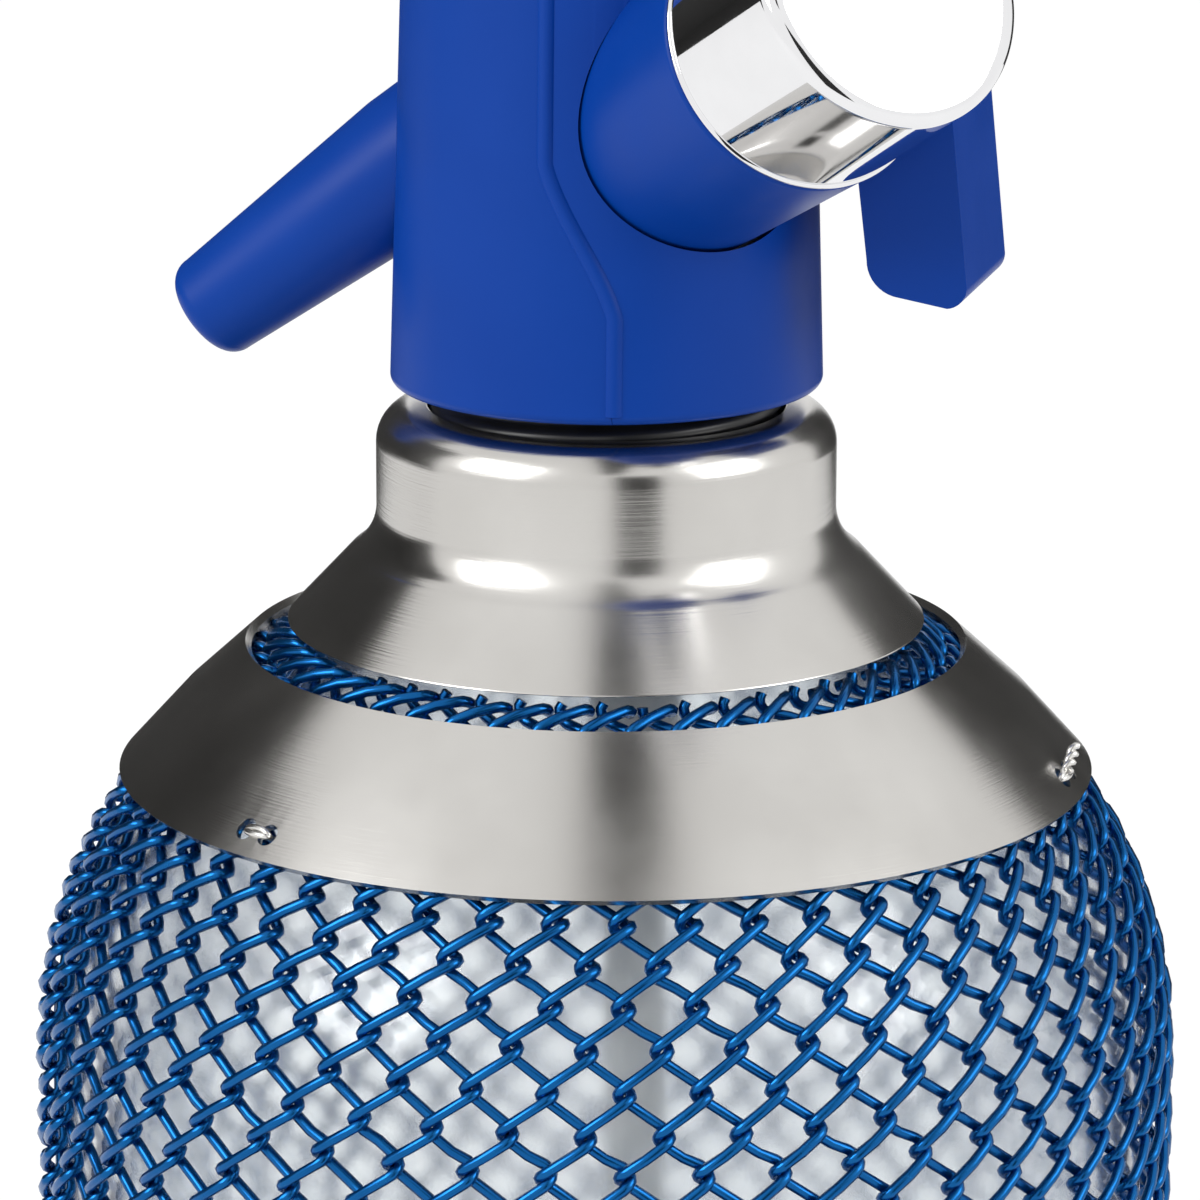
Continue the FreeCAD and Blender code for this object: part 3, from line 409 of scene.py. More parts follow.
# %% Blue, black and white finishes
blue_plastic = finish("satin_blue_plastic", (0.0, 0.040, 0.29), (0.0, 0.047, 0.33), 0.34, 0.44,
                      scale=90, grain=3600, strength=0.12, Specular_IOR_Level=0.16)
blue_wire = finish("anodised_blue_wire", (0.002, 0.082, 0.27), (0.004, 0.125, 0.38), 0.18, 0.3,
                   scale=420, metallic=0.85, grain=5000, strength=0.05)
black_plastic = finish("black_plastic", (0.006, 0.006, 0.007), (0.014, 0.014, 0.015), 0.28, 0.4)
black_rubber = finish("black_rubber", (0.012, 0.012, 0.012), (0.025, 0.025, 0.025), 0.65, 0.85,
                      strength=0.2)
white_plastic = finish("white_tube", (0.62, 0.63, 0.64), (0.74, 0.75, 0.76), 0.35, 0.5)

# %% Metal finishes
brushed_steel = finish("brushed_steel", (0.52, 0.505, 0.48), (0.69, 0.675, 0.65), 0.18, 0.27,
                       scale=60, metallic=1.0, grain=1.0, stretch=(60, 60, 7000),
                       strength=0.3, depth=0.00003)
tie_steel = finish("tie_wire", (0.62, 0.61, 0.58), (0.8, 0.79, 0.77), 0.15, 0.3, metallic=1.0)
chrome = finish("polished_chrome", (0.80, 0.80, 0.81), (0.86, 0.86, 0.87), 0.02, 0.06,
                metallic=1.0, scale=300, strength=0.01)
aluminium = finish("machined_aluminium", (0.6, 0.61, 0.62), (0.74, 0.75, 0.76), 0.3, 0.42,
                   metallic=1.0, stretch=(60, 60, 3000), grain=1.0, strength=0.12)
brass = finish("turned_brass", (0.62, 0.42, 0.16), (0.78, 0.56, 0.26), 0.22, 0.34, metallic=1.0,
               stretch=(60, 60, 3000), grain=1.0, strength=0.12)
spring_steel = finish("spring_steel", (0.45, 0.45, 0.46), (0.6, 0.6, 0.61), 0.25, 0.35,
                      metallic=1.0)
plated_steel = finish("plated_capsule_steel", (0.5, 0.52, 0.54), (0.66, 0.68, 0.7), 0.28, 0.4,
                      metallic=1.0, strength=0.1)

# %% Glass
glass = finish("bottle_glass", (0.93, 0.965, 0.98), (0.97, 0.985, 0.99), 0.09, 0.14, scale=40,
               grain=110, strength=0.16, depth=0.0002, Transmission_Weight=1.0, IOR=1.46)
print("materials:", len(bpy.data.materials))

# %% [markdown]
# The hidden pieces
# Valve, seals, capsule and tubes sit inside the head and the bottle. Their solids already have
# the right shape, so each one only gets the finish of what it is made of.

# %% Finishes for the solids
SLOT_FINISH = {
    "rubber": black_rubber, "glass": glass, "blue_wire": blue_wire,
    "brushed_steel": brushed_steel, "steel_wire": tie_steel, "black_plastic": black_plastic,
    "blue_plastic": blue_plastic, "aluminium": aluminium, "brass": brass, "chrome": chrome,
    "spring_steel": spring_steel, "white_plastic": white_plastic,
    "capsule_steel": plated_steel,
}
for subpart in frame["record"]["subparts"]:
    solid = frame["nodes"][subpart["node"]]
    material = SLOT_FINISH[subpart["material_slot"]]
    if not solid.data.materials:
        solid.data.materials.append(material)
    for index in range(len(solid.data.materials)):
        solid.data.materials[index] = material

# %% [markdown]
# The glass bottle
# The bottle is blown glass with a thick wall. It is turned from one outline with an outer and
# an inner side, so that light bends at both faces as it does in the real wall.

# %% Bottle
DOME_END = math.radians(70)
NECK_FILLET = 3
GROOVE_LOW = 211
GROOVE_HIGH = 214
GROOVE_DEPTH = 1.6
FLOOR_RISE = 1.6
LIP_ROUND = 1


def skin(inset):
    """Wall, shoulder and dome, a distance inside the sleeve's outer face."""
    arc = SHOULDER_ARC - inset
    dome = DOME_ARC - inset
    return [
        (SLEEVE_RADIUS - inset, SHOULDER_START),
        (shoulder_centre + arc * HALF, SHOULDER_START + arc * HALF, arc),
        (dome_centre[0] + dome * HALF, dome_centre[1] + dome * HALF),
        (dome_centre[0] + dome * math.cos(DOME_END),
         dome_centre[1] + dome * math.sin(DOME_END), dome),
    ]


def bottle():
    """The glass, from the middle of its foot up the outer side and down the inner side."""
    inset = SLEEVE_DEPTH + SLEEVE_GAP
    heel = HEEL_ARC - inset
    dome = skin(inset)[3]
    slope = 1 / math.tan(DOME_END)
    neck_foot = dome[1] + (dome[0] - NECK_RADIUS - NECK_FILLET) * slope
    wall = SLEEVE_RADIUS - inset - GLASS_WALL
    inner_arc = SHOULDER_ARC - inset - GLASS_WALL
    inner_x = shoulder_centre + inner_arc * HALF
    inner_y = SHOULDER_START + inner_arc * HALF
    inner_dome = dome_centre[0] + (DOME_ARC - inset - GLASS_WALL) * HALF
    corners = [
        (0, FOOT_TOP + FLOOR_RISE), (heel_centre[0] - heel, FOOT_TOP),
        (heel_centre[0], FOOT_TOP), (SLEEVE_RADIUS - inset, heel_centre[1], heel),
    ]
    corners += skin(inset)
    corners += [
        (NECK_RADIUS + NECK_FILLET, neck_foot),
        (NECK_RADIUS, neck_foot + NECK_FILLET, -NECK_FILLET),
        (NECK_RADIUS, GROOVE_LOW), (NECK_RADIUS - GROOVE_DEPTH, GROOVE_LOW),
        (NECK_RADIUS - GROOVE_DEPTH, GROOVE_HIGH), (NECK_RADIUS, GROOVE_HIGH),
        (NECK_RADIUS, LIP_HEIGHT - LIP_ROUND),
        (NECK_RADIUS - LIP_ROUND, LIP_HEIGHT, LIP_ROUND),
        (NECK_BORE + LIP_ROUND, LIP_HEIGHT), (NECK_BORE, LIP_HEIGHT - LIP_ROUND, LIP_ROUND),
        (NECK_BORE, neck_foot - 2), (inner_dome, inner_x + inner_y - inner_dome),
        (inner_x, inner_y), (wall, SHOULDER_START, -inner_arc),
        (wall, GLASS_FLOOR + heel - GLASS_WALL),
        (wall - heel + GLASS_WALL, GLASS_FLOOR, GLASS_WALL - heel),
        (0, GLASS_FLOOR + FLOOR_RISE),
    ]
    return turned("bottle_glass", corners, steps=160, smooth=60)


finish_piece(bottle(), "bottle", glass, ["glass_bottle"])

# %% [markdown]
# The wire sleeve
# The sleeve is chain-link: upright wires, each wound into a flat coil, and each coil hooked
# into its neighbour's bends. One wire's path is a formula: it runs round a flat oval while it
# climbs the bottle's outline, half a turn out of step with the next wire. The circumference
# shrinks on the shoulder, so there the coils crowd together, as they do on the real one.

# %% Sleeve route
WIRES = 96
WIRE_RADIUS = 0.53
TURN_RISE = 7.8
SWING = 2.4
BEND = (SLEEVE_DEPTH / 2) - WIRE_RADIUS
HEEL_SWEEP = 58


def sleeve_route():
    """Heel, wall, shoulder and dome as (radius, height) points, evenly close together."""
    heel = [(heel_centre[0] + HEEL_ARC * math.cos(math.radians(-angle)),
             heel_centre[1] + HEEL_ARC * math.sin(math.radians(-angle)))
            for angle in range(HEEL_SWEEP, 0, -3)]
    points = outline([heel[0], (SLEEVE_RADIUS, heel_centre[1], HEEL_ARC)] + skin(0))
    return [Vector(point) for point in points]


route = sleeve_route()
lengths = [0.0]
for before, after in zip(route, route[1:]):
    lengths.append(lengths[-1] + (after - before).length)
print("sleeve wire climbs", round(lengths[-1], 1), "mm")


def on_route(distance):
    """Place and direction on the sleeve's outline, a distance from the heel's end."""
    index = 0
    while index < len(lengths) - 2 and lengths[index + 1] < distance:
        index += 1
    share = (distance - lengths[index]) / (lengths[index + 1] - lengths[index])
    point = route[index].lerp(route[index + 1], share)
    before = route[max(index - 1, 0)]
    after = route[min(index + 2, len(route) - 1)]
    return point, (after - before).normalized()


# %% One turn of a coil
BEND_ANGLES = [0, 36, 72, 108, 144, 180]
BULGE_INSIDE = 0.05
BULGE_OUTSIDE = 0.12


def oval_turn():
    """One turn of the flat coil: sideways and inward offsets with the share of the climb."""
    flat = SWING - BEND
    total = 4 * flat + math.tau * BEND
    halves = [(1, 0.0, BULGE_INSIDE), (-1, math.pi * BEND + 2 * flat, BULGE_OUTSIDE)]
    turn = []
    for side, run, bulge in halves:
        for angle in BEND_ANGLES:
            bend = math.radians(angle)
            x = side * (flat + BEND * math.sin(bend))
            y = -side * BEND * math.cos(bend)
            turn.append((x, y, (run + bend * BEND) / total))
        turn.append((0, side * (BEND + bulge), (run + math.pi * BEND + flat) / total))
    return turn


TURN = oval_turn()
print("points in one turn of the coil:", len(TURN))

# %% [markdown]
# Wires as tubes
# A tube with six sides is enough for a wire one millimetre thick, because its faces are
# smoothed. The coils are built in mesh code, since a formula places them best, and they are
# gathered into eight pieces of twelve wires to keep each piece light.

# %% Path of a wire
END_ROOM = 0.4


def wire_path(number):
    """The path of one wire in millimetres, each set a little higher or lower than the next."""
    phase = 0.5 * (number % 2)
    azimuth = math.tau * number / WIRES
    wobble = 0.10 * math.sin(number * 2.4) + 0.06 * math.sin(number * 5.1)
    path = []
    laps = int(lengths[-1] / TURN_RISE) + 1
    for lap in range(-1, laps):
        for x, y, share in TURN:
            climb = (lap + share + phase) * TURN_RISE + wobble
            if climb < END_ROOM or climb > lengths[-1] - END_ROOM:
                continue
            point, way = on_route(climb)
            depth = SLEEVE_DEPTH / 2 + y
            radius = point.x - way.y * depth
            height = point.y + way.x * depth
            swing = azimuth + x / point.x
            out = Vector((math.cos(swing), math.sin(swing), 0))
            up = Vector((out.x * way.x, out.y * way.x, way.y))
            path.append((Vector((out.x * radius, out.y * radius, height)), up))
    return path


print("points along one wire:", len(wire_path(0)))

# %% Tubes


def tube_mesh(paths, radius, sides):
    """Vertices and faces of smooth round tubes along several paths."""
    vertices = []
    faces = []
    for path in paths:
        first = len(vertices)
        for index, (point, up) in enumerate(path):
            before = path[max(index - 1, 0)][0]
            after = path[min(index + 1, len(path) - 1)][0]
            way = (after - before).normalized()
            side = way.cross(up).normalized()
            top = side.cross(way)
            for step in range(sides):
                angle = math.tau * step / sides
                offset = side * math.cos(angle) + top * math.sin(angle)
                vertices.append((point + offset * radius) * MM)
        last = first + (len(path) - 1) * sides
        for start in range(first, last, sides):
            for step in range(sides):
                a = start + step
                b = start + (step + 1) % sides
                faces.append((a, b, b + sides, a + sides))
        faces.append(tuple(first + step for step in reversed(range(sides))))
        faces.append(tuple(last + step for step in range(sides)))
    return vertices, faces


def tube_piece(name, paths, radius, sides):
    """Tubes along several paths as one piece."""
    deselect()
    vertices, faces = tube_mesh(paths, radius, sides)
    mesh = bpy.data.meshes.new(name)
    mesh.from_pydata(vertices, [], faces)
    piece = bpy.data.objects.new(name, mesh)
    bpy.context.scene.collection.objects.link(piece)
    bpy.context.view_layer.objects.active = piece
    piece.select_set(True)
    bpy.ops.object.mode_set(mode="EDIT")
    bpy.ops.mesh.select_all(action="SELECT")
    bpy.ops.mesh.normals_make_consistent(inside=False)
    bpy.ops.object.mode_set(mode="OBJECT")
    bpy.ops.object.shade_smooth_by_angle(angle=math.radians(75))
    return piece


# %% Sleeve wires
WIRE_SIDES = 6
SLEEVE_PIECES = 8
each = WIRES // SLEEVE_PIECES
for part in range(SLEEVE_PIECES):
    paths = [wire_path(number) for number in range(part * each, (part + 1) * each)]
    wires = tube_piece("sleeve_wires_%d" % (part + 1), paths, WIRE_RADIUS, WIRE_SIDES)
    finish_piece(wires, "bottle", blue_wire, ["mesh_sleeve"])

# %% [markdown]
# Rings of thin steel
# The shoulder ring and the base ring are spun sheet. Small pairs of holes take the wire ties
# that hold them to the sleeve. The rings are turned, then drilled with Boolean cutters, and
# their cut edges get a fine bevel that catches the light.

# %% Ring helpers
SHEET = 0.8
RING_GAP = 0.1
RING_EDGE = 0.16
TIES = 3
TIE_START = 240
TIE_GAP = 2.9
TIE_HOLE = 1.1
TIE_RADIUS = 0.33
TIE_LEAN = 0.32


def tie_places(radius, height, tilt):
    """Middle, sideways and outward directions of each tie."""
    places = []
    for index in range(TIES):
        angle = math.radians(TIE_START + index * 360 / TIES)
        out = Vector((math.cos(angle), math.sin(angle), 0))
        side = Vector((-out.y, out.x, 0))
        normal = out * math.cos(tilt) + Vector((0, 0, 1)) * math.sin(tilt)
        middle = Vector((out.x * radius, out.y * radius, height))
        places.append((middle, side, normal))
    return places


def drill(ring, places):
    """A pair of holes at each tie."""
    cutters = []
    for middle, side, normal in places:
        for sign in (-1, 1):
            start = middle + side * sign * TIE_GAP / 2 - normal * 2
            cutters.append(rod("hole", TIE_HOLE, 4, start, normal, vertices=24))
    return carve(ring, cutters)


# %% Tie wires


def tie_path(middle, side, normal, lean):
    """One strand that comes up through one hole and goes down the other."""
    across = side.cross(normal)
    path = []
    for step in range(13):
        angle = math.pi * step / 12
        reach = side * (-math.cos(angle)) * TIE_GAP / 2
        rise = normal * (math.sin(angle) ** 0.5 * 0.75 - 0.5)
        path.append((middle + reach + rise + across * lean * math.sin(angle), across))
    first = path[0][0] - normal * 1.0
    last = path[-1][0] - normal * 1.0
    return [(first, across)] + path + [(last, across)]


def tie_strands(places):
    """Two strands, side by side, through each pair of holes."""
    return [tie_path(*place, lean) for place in places for lean in (TIE_LEAN, -TIE_LEAN)]


def twist_path(middle, side, normal, start):
    """A strand of the twisted ends that stand up from a tie."""
    across = side.cross(normal)
    path = []
    for step in range(17):
        share = step / 16
        angle = share * 1.6 * math.tau + start
        core = middle + normal * (0.3 + 1.6 * share) + side * 2.2 * share - across * 1.2 * share
        ring = normal * math.cos(angle) * 0.3 + across * math.sin(angle) * 0.3
        path.append((core + ring, across))
    return path


# %% Shoulder ring
RING_TOP = 34.5
RING_BOTTOM = 46.7
RING_BOW = 92
ring_line = shoulder_sum + (SHEET + RING_GAP) / HALF
ring_high = ring_line - RING_TOP
ring_low = ring_line - RING_BOTTOM
lift = SHEET * HALF
shoulder_ring = turned("shoulder_ring_sheet", [
    (RING_BOTTOM, ring_low), (RING_TOP, ring_high, RING_BOW),
    (RING_TOP - lift, ring_high - lift),
    (RING_BOTTOM - lift, ring_low - lift, -RING_BOW)], steps=160)
tie_in = 2.6 * HALF
shoulder_places = tie_places(RING_BOTTOM - tie_in, ring_low + tie_in, math.radians(45))
soften(drill(shoulder_ring, shoulder_places), RING_EDGE)
finish_piece(shoulder_ring, "bottle", brushed_steel, ["shoulder_ring"])

# %% Ties of the shoulder ring
ties = tie_strands(shoulder_places)
ties.append(twist_path(*shoulder_places[1], 0))
ties.append(twist_path(*shoulder_places[1], math.pi))
shoulder_ties = tube_piece("shoulder_tie_wires", ties, TIE_RADIUS, 8)
finish_piece(shoulder_ties, "bottle", tie_steel, ["shoulder_ties"])

# %% Base ring and its ties


def heel_point(reach, angle):
    """A point below the middle of the heel's arc, by its distance and its angle downwards."""
    drop = math.radians(angle)
    return heel_centre[0] + reach * math.cos(drop), heel_centre[1] - reach * math.sin(drop)


BASE_RING_LOW = 68
BASE_RING_HIGH = 18
BASE_TIE_ANGLE = 32
ring_in = HEEL_ARC + RING_GAP
ring_out = HEEL_ARC + RING_GAP + SHEET
base_ring = turned("base_ring_sheet", [
    heel_point(ring_out, BASE_RING_LOW), heel_point(ring_out, BASE_RING_HIGH) + (ring_out,),
    heel_point(ring_in, BASE_RING_HIGH), heel_point(ring_in, BASE_RING_LOW) + (-ring_in,)],
    steps=160)
base_radius, base_height = heel_point(ring_out, BASE_TIE_ANGLE)
base_places = tie_places(base_radius, base_height, math.radians(-BASE_TIE_ANGLE))
soften(drill(base_ring, base_places), RING_EDGE)
finish_piece(base_ring, "bottle", brushed_steel, ["base_ring"])
base_ties = tube_piece("base_tie_wires", tie_strands(base_places), TIE_RADIUS, 8)
finish_piece(base_ties, "bottle", tie_steel, ["base_ties"])

# %% [markdown]
# Neck collar and threaded stub
# The collar is a turned bell with a rounded crown and a hollow curve down to its skirt. The
# black stub shows as a thin dark band between collar and head. Its thread is a true helix: the
# radius rises and falls with height, and the pattern climbs one pitch in each turn.

# %% Collar
collar = turned("neck_collar_bell", [
    (30.5, 203.6), (24.5, 210.0), (21.9, 214.4, -5.6), (21.9, 220.8), (18.3, 224.4, 3.6),
    (17.0, 224.4), (17.0, 211), (13.2, 211), (13.2, 209.2), (24.4, 209.2), (29.8, 203.4)],
    steps=160)
soften(collar, 0.18)
finish_piece(collar, "bottle", brushed_steel, ["neck_collar"])

# %% Threaded stub
THREAD_PITCH = 3.0
THREAD_DEPTH = 0.9
THREAD_TOP = 227.9
STUB_BOTTOM = 215.0
STUB_TOP = 233.0
STUB_BORE = 13.0
STUB_FLANGE = 17.1


def stub():
    """A turned tube whose outer face is pushed in along a helix."""
    rows = [(THREAD_RADIUS, STUB_BOTTOM + 0.25 * step) for step in range(53)]
    corners = [(STUB_BORE, STUB_BOTTOM)] + rows + [
        (STUB_FLANGE, 228.5), (STUB_FLANGE, STUB_TOP), (STUB_BORE, STUB_TOP)]
    piece = turned("threaded_stub_black", corners, steps=96, smooth=50)
    for vertex in piece.data.vertices:
        x, y, z = (value / MM for value in vertex.co)
        radius = math.hypot(x, y)
        if abs(radius - THREAD_RADIUS) < 0.05 and z < THREAD_TOP:
            turns = z / THREAD_PITCH - math.atan2(y, x) / math.tau
            wave = 0.5 - 0.5 * math.cos(math.tau * turns)
            shrink = (THREAD_RADIUS - THREAD_DEPTH * wave ** 1.5) / radius
            vertex.co.x *= shrink
            vertex.co.y *= shrink
    return piece


finish_piece(stub(), "head", black_plastic, ["threaded_stub"])

# %% [markdown]
# Head casing
# The head's casing is two moulded shells that meet along a stepped seam. The seam runs down,
# jogs towards the lever and runs down again. One turned form is cut twice by the same side
# outline, and both cut edges are rounded, which leaves the fine groove seen on the real one.

# %% Casing form
CASING_ROOF = 2.5
CASING_FLOOR = 2
CASING_FOOT_ROUND = 0.9
CASING_EYE = 9


def casing(name):
    """The whole casing as one hollow turned form, open at the middle of its top and foot."""
    throat = THREAD_RADIUS + 0.2
    inner = HEAD_CROWN - CASING_ROOF
    return turned(name, [
        (throat, HEAD_BOTTOM), (HEAD_RADIUS - CASING_FOOT_ROUND, HEAD_BOTTOM),
        (HEAD_RADIUS, HEAD_BOTTOM + CASING_FOOT_ROUND, CASING_FOOT_ROUND),
        (HEAD_TOP_RADIUS, HEAD_TOP - HEAD_CROWN),
        (HEAD_TOP_RADIUS - HEAD_CROWN, HEAD_TOP, HEAD_CROWN),
        (CASING_EYE, HEAD_TOP), (CASING_EYE, HEAD_TOP - CASING_ROOF),
        (HEAD_BORE - inner, HEAD_TOP - CASING_ROOF),
        (HEAD_BORE, HEAD_TOP - HEAD_CROWN, -inner), (HEAD_BORE, HEAD_BOTTOM + CASING_FLOOR),
        (throat, HEAD_BOTTOM + CASING_FLOOR)], steps=192)


# %% Seam and cutters
SEAM_GAP = 0.05
BOSS_HOLE = 12.6
SPOUT_HOLE = 7.0


def prism(name, points, width):
    """A side outline of (x, z) points made solid to both sides of the middle plane."""
    piece = loop_piece(name, points, at=lambda x, z: (x, -width / 2, z))
    bpy.ops.object.mode_set(mode="EDIT")
    bpy.ops.mesh.select_all(action="SELECT")
    bpy.ops.mesh.edge_face_add()
    bpy.ops.mesh.extrude_region_move(TRANSFORM_OT_translate={"value": (0, width * MM, 0)})
    bpy.ops.mesh.select_all(action="SELECT")
    bpy.ops.mesh.normals_make_consistent(inside=False)
    bpy.ops.object.mode_set(mode="OBJECT")
    return piece


def seam_side(name, shift):
    """Everything on the spout's side of the seam, with the seam shifted to the lever's side."""
    corners = [(-30, 220), (5.7 + shift, 220), (5.7 + shift, 235.1), (5.0 + shift, 238.3, 8),
               (0.1 + shift, 249.2), (-0.6 + shift, 252.4, -8), (-0.6 + shift, 290), (-30, 290)]
    return prism(name, outline(corners), 60)


def boss_cutter():
    start = Vector((0, 0, CAPSULE_HEIGHT)) + capsule_way * 5
    return rod("boss_cutter", BOSS_HOLE, 40, start, capsule_way, vertices=96)


def spout_cutter():
    start = Vector((0, 0, SPOUT_HEIGHT)) + spout_way * 10
    return rod("spout_cutter", SPOUT_HOLE, 30, start, spout_way, vertices=64)


# %% Shell on the spout's side
front_shell = casing("head_shell_spout_side")
carve(front_shell, [seam_side("seam_cutter", 0.0)], "INTERSECT")
carve(front_shell, [boss_cutter(), spout_cutter()])
soften(front_shell, 0.4, 3, 50)
finish_piece(front_shell, "head", blue_plastic, ["head_shell_front"])

# %% Shell on the lever's side
rear_shell = casing("head_shell_lever_side")
carve(rear_shell, [seam_side("seam_cutter", SEAM_GAP)])
screw_height = HEAD_TOP - 14
screw_holes = [rod("screw_hole", 1.3, 12, (14, 0, screw_height), (1, 0, 0), 24),
               rod("screw_seat", 2.5, 8, (17.8, 0, screw_height), (1, 0, 0), 32)]
carve(rear_shell, [boss_cutter(), spout_cutter()] + screw_holes)
soften(rear_shell, 0.4, 3, 50)
finish_piece(rear_shell, "head", blue_plastic, ["head_shell_rear"])

# %% [markdown]
# Seam bead
# Where the shells meet, a low rounded bead stands on the surface and catches a line of light on
# one side and a dark line on the other. It is a thin tube, most of it sunk in the casing, whose
# path follows the stepped seam at the casing's own radius, down both sides of the head.

# %% Bead along the seam
BEAD_RADIUS = 1.0
BEAD_RISE = 0.38
JOG_START = 236.5
JOG_HEIGHT = 14
SEAM_LOW_X = 5.72
JOG_SHIFT = 6.3


def seam_x(height):
    """Where the seam runs at a height, with its jog eased at both ends."""
    share = min(max((height - JOG_START) / JOG_HEIGHT, 0), 1)
    eased = share * 0.6 + share * share * (3 - 2 * share) * 0.4
    return SEAM_LOW_X - JOG_SHIFT * eased


def casing_radius(height):
    """The casing's outer radius, which tapers towards the crown."""
    share = (height - HEAD_BOTTOM) / (HEAD_TOP - HEAD_CROWN - HEAD_BOTTOM)
    return HEAD_RADIUS + (HEAD_TOP_RADIUS - HEAD_RADIUS) * min(max(share, 0), 1)


def bead_path(side):
    """Up one side of the head, and over the crown's rounding."""
    path = []
    sunk = BEAD_RADIUS - BEAD_RISE
    low = HEAD_BOTTOM + CASING_FOOT_ROUND
    for step in range(60):
        height = low + step * (HEAD_TOP - HEAD_CROWN - low) / 59
        x = seam_x(height)
        radius = casing_radius(height) - sunk
        out = Vector((x, side * math.sqrt(radius * radius - x * x), height))
        path.append((out, Vector((out.x, out.y, 0)).normalized()))
    for step in range(1, 11):
        angle = math.pi / 2 * step / 10
        reach = HEAD_TOP_RADIUS - HEAD_CROWN + (HEAD_CROWN - sunk) * math.cos(angle)
        height = HEAD_TOP - HEAD_CROWN + (HEAD_CROWN - sunk) * math.sin(angle)
        normal = Vector((0, side * math.cos(angle), math.sin(angle)))
        path.append((Vector((seam_x(height), side * reach, height)), normal))
    return path


bead = tube_piece("seam_bead", [bead_path(-1), bead_path(1)], BEAD_RADIUS, 16)
finish_piece(bead, "head", blue_plastic)

# %% [markdown]
# Boss, chrome holder and spout
# Each is turned about its own slanting axis. The boss is a tapering plastic collar, and a thin
# brass sleeve inside it carries the holder's thread. Boss, sleeve and spout all end at the
# metal block inside the head, so the block's room is cut from them with an upright cylinder.

# %% Boss
HOLDER_START = 35.8
BOSS_START = 10
BOSS_END = HOLDER_START - 0.35
BOSS_RADIUS = 13.15
BOSS_FOOT_RADIUS = 11.95
BOSS_BORE = 11.75
BLOCK_ROOM = 17.35


def block_room(radius):
    """An upright cylinder that takes the room of the block inside the head."""
    return rod("block_room", radius, 90, (0, 0, 220), (0, 0, 1), 128)


boss = turned("capsule_boss", [
    (BOSS_BORE, BOSS_START), (BOSS_FOOT_RADIUS, BOSS_START), (BOSS_RADIUS, HOLDER_START - 0.9),
    (BOSS_RADIUS - 0.4, BOSS_END, 0.5), (BOSS_BORE, BOSS_END)], steps=128)
boss.data.transform(capsule_axis)
carve(boss, [block_room(BLOCK_ROOM)])
soften(boss, 0.12)
finish_piece(boss, "head", blue_plastic, ["charger_boss"])

# %% Thread sleeve
THREAD_SLEEVE_IN = 11.0
THREAD_SLEEVE_OUT = 11.6
sleeve_end = HOLDER_START - 0.7
thread_sleeve = turned("holder_thread_sleeve_brass", [
    (THREAD_SLEEVE_IN, BOSS_START), (THREAD_SLEEVE_OUT, BOSS_START),
    (THREAD_SLEEVE_OUT, sleeve_end), (THREAD_SLEEVE_IN, sleeve_end)], steps=96)
thread_sleeve.data.transform(capsule_axis)
carve(thread_sleeve, [block_room(BLOCK_ROOM)])
finish_piece(thread_sleeve, "head", brass, ["holder_thread_sleeve"])

# %% Chrome holder
HOLDER_FOOT = 25.6
HOLDER_END = 52.6
HOLDER_RADIUS = 13.0
HOLDER_RIM = 13.2
HOLDER_THREAD = 10.7
HOLDER_BORE = 9.4
HOLDER_CAP = 1.4
holder = turned("capsule_holder_chrome", [
    (HOLDER_BORE, HOLDER_FOOT), (HOLDER_THREAD, HOLDER_FOOT), (HOLDER_THREAD, HOLDER_START),
    (HOLDER_RIM, HOLDER_START), (HOLDER_RIM, HOLDER_START + 0.3, 0.2),
    (HOLDER_RADIUS, HOLDER_START + 0.45), (HOLDER_RADIUS, HOLDER_END - 1.6),
    (HOLDER_RADIUS - 1.2, HOLDER_END - 0.2, 1.5), (HOLDER_RADIUS - 2.2, HOLDER_END),
    (0, HOLDER_END), (0, HOLDER_END - HOLDER_CAP), (HOLDER_BORE, HOLDER_END - HOLDER_CAP)],
    steps=160)
holder.data.transform(capsule_axis)
soften(holder, 0.1)
finish_piece(holder, "charger_holder", chrome, ["charger_holder"])

# %% Spout
SPOUT_START = 12
SPOUT_END = 50.5
SPOUT_RADIUS = 6.9
SPOUT_TIP_RADIUS = 5.15
SPOUT_BORE = 2.4
spout = turned("spout_cone_blue", [
    (SPOUT_BORE, SPOUT_START), (SPOUT_RADIUS, SPOUT_START), (SPOUT_RADIUS, 24),
    (SPOUT_TIP_RADIUS, SPOUT_END - 2.1), (3.5, SPOUT_END, 2.0), (SPOUT_BORE, SPOUT_END)],
    steps=96)
spout.data.transform(spout_axis)
carve(spout, [block_room(HEAD_BORE)])
soften(spout, 0.2)
finish_piece(spout, "head", blue_plastic, ["spout"])

# %% [markdown]
# Lever
# The lever is one moulding: a hood over the head's top that bends down into a grip behind it.
# Its side view is extruded to its width. The slot for bracket and stem is cut from below, and a
# hollow beside the grip leaves room for the boss while the lever is pressed. Rounded edges make
# it look moulded.

# %% Lever form
LEVER_WIDTH = 18
LEVER_TOP = 305
GRIP_IN = 27
GRIP_OUT = GRIP_IN + 9.4
GRIP_BOTTOM = 237
BOSS_ROOM = 14.6
PIN_ROOM = 1.58


def boss_rooms():
    """Room for boss and holder while the lever moves from rest to pressed."""
    rooms = []
    for step in range(3):
        start = Vector((1.7 * step, 0, CAPSULE_HEIGHT + 1.9 * step)) + capsule_way * 15
        rooms.append(rod("boss_room", BOSS_ROOM, 55, start, capsule_way, vertices=96))
    return rooms


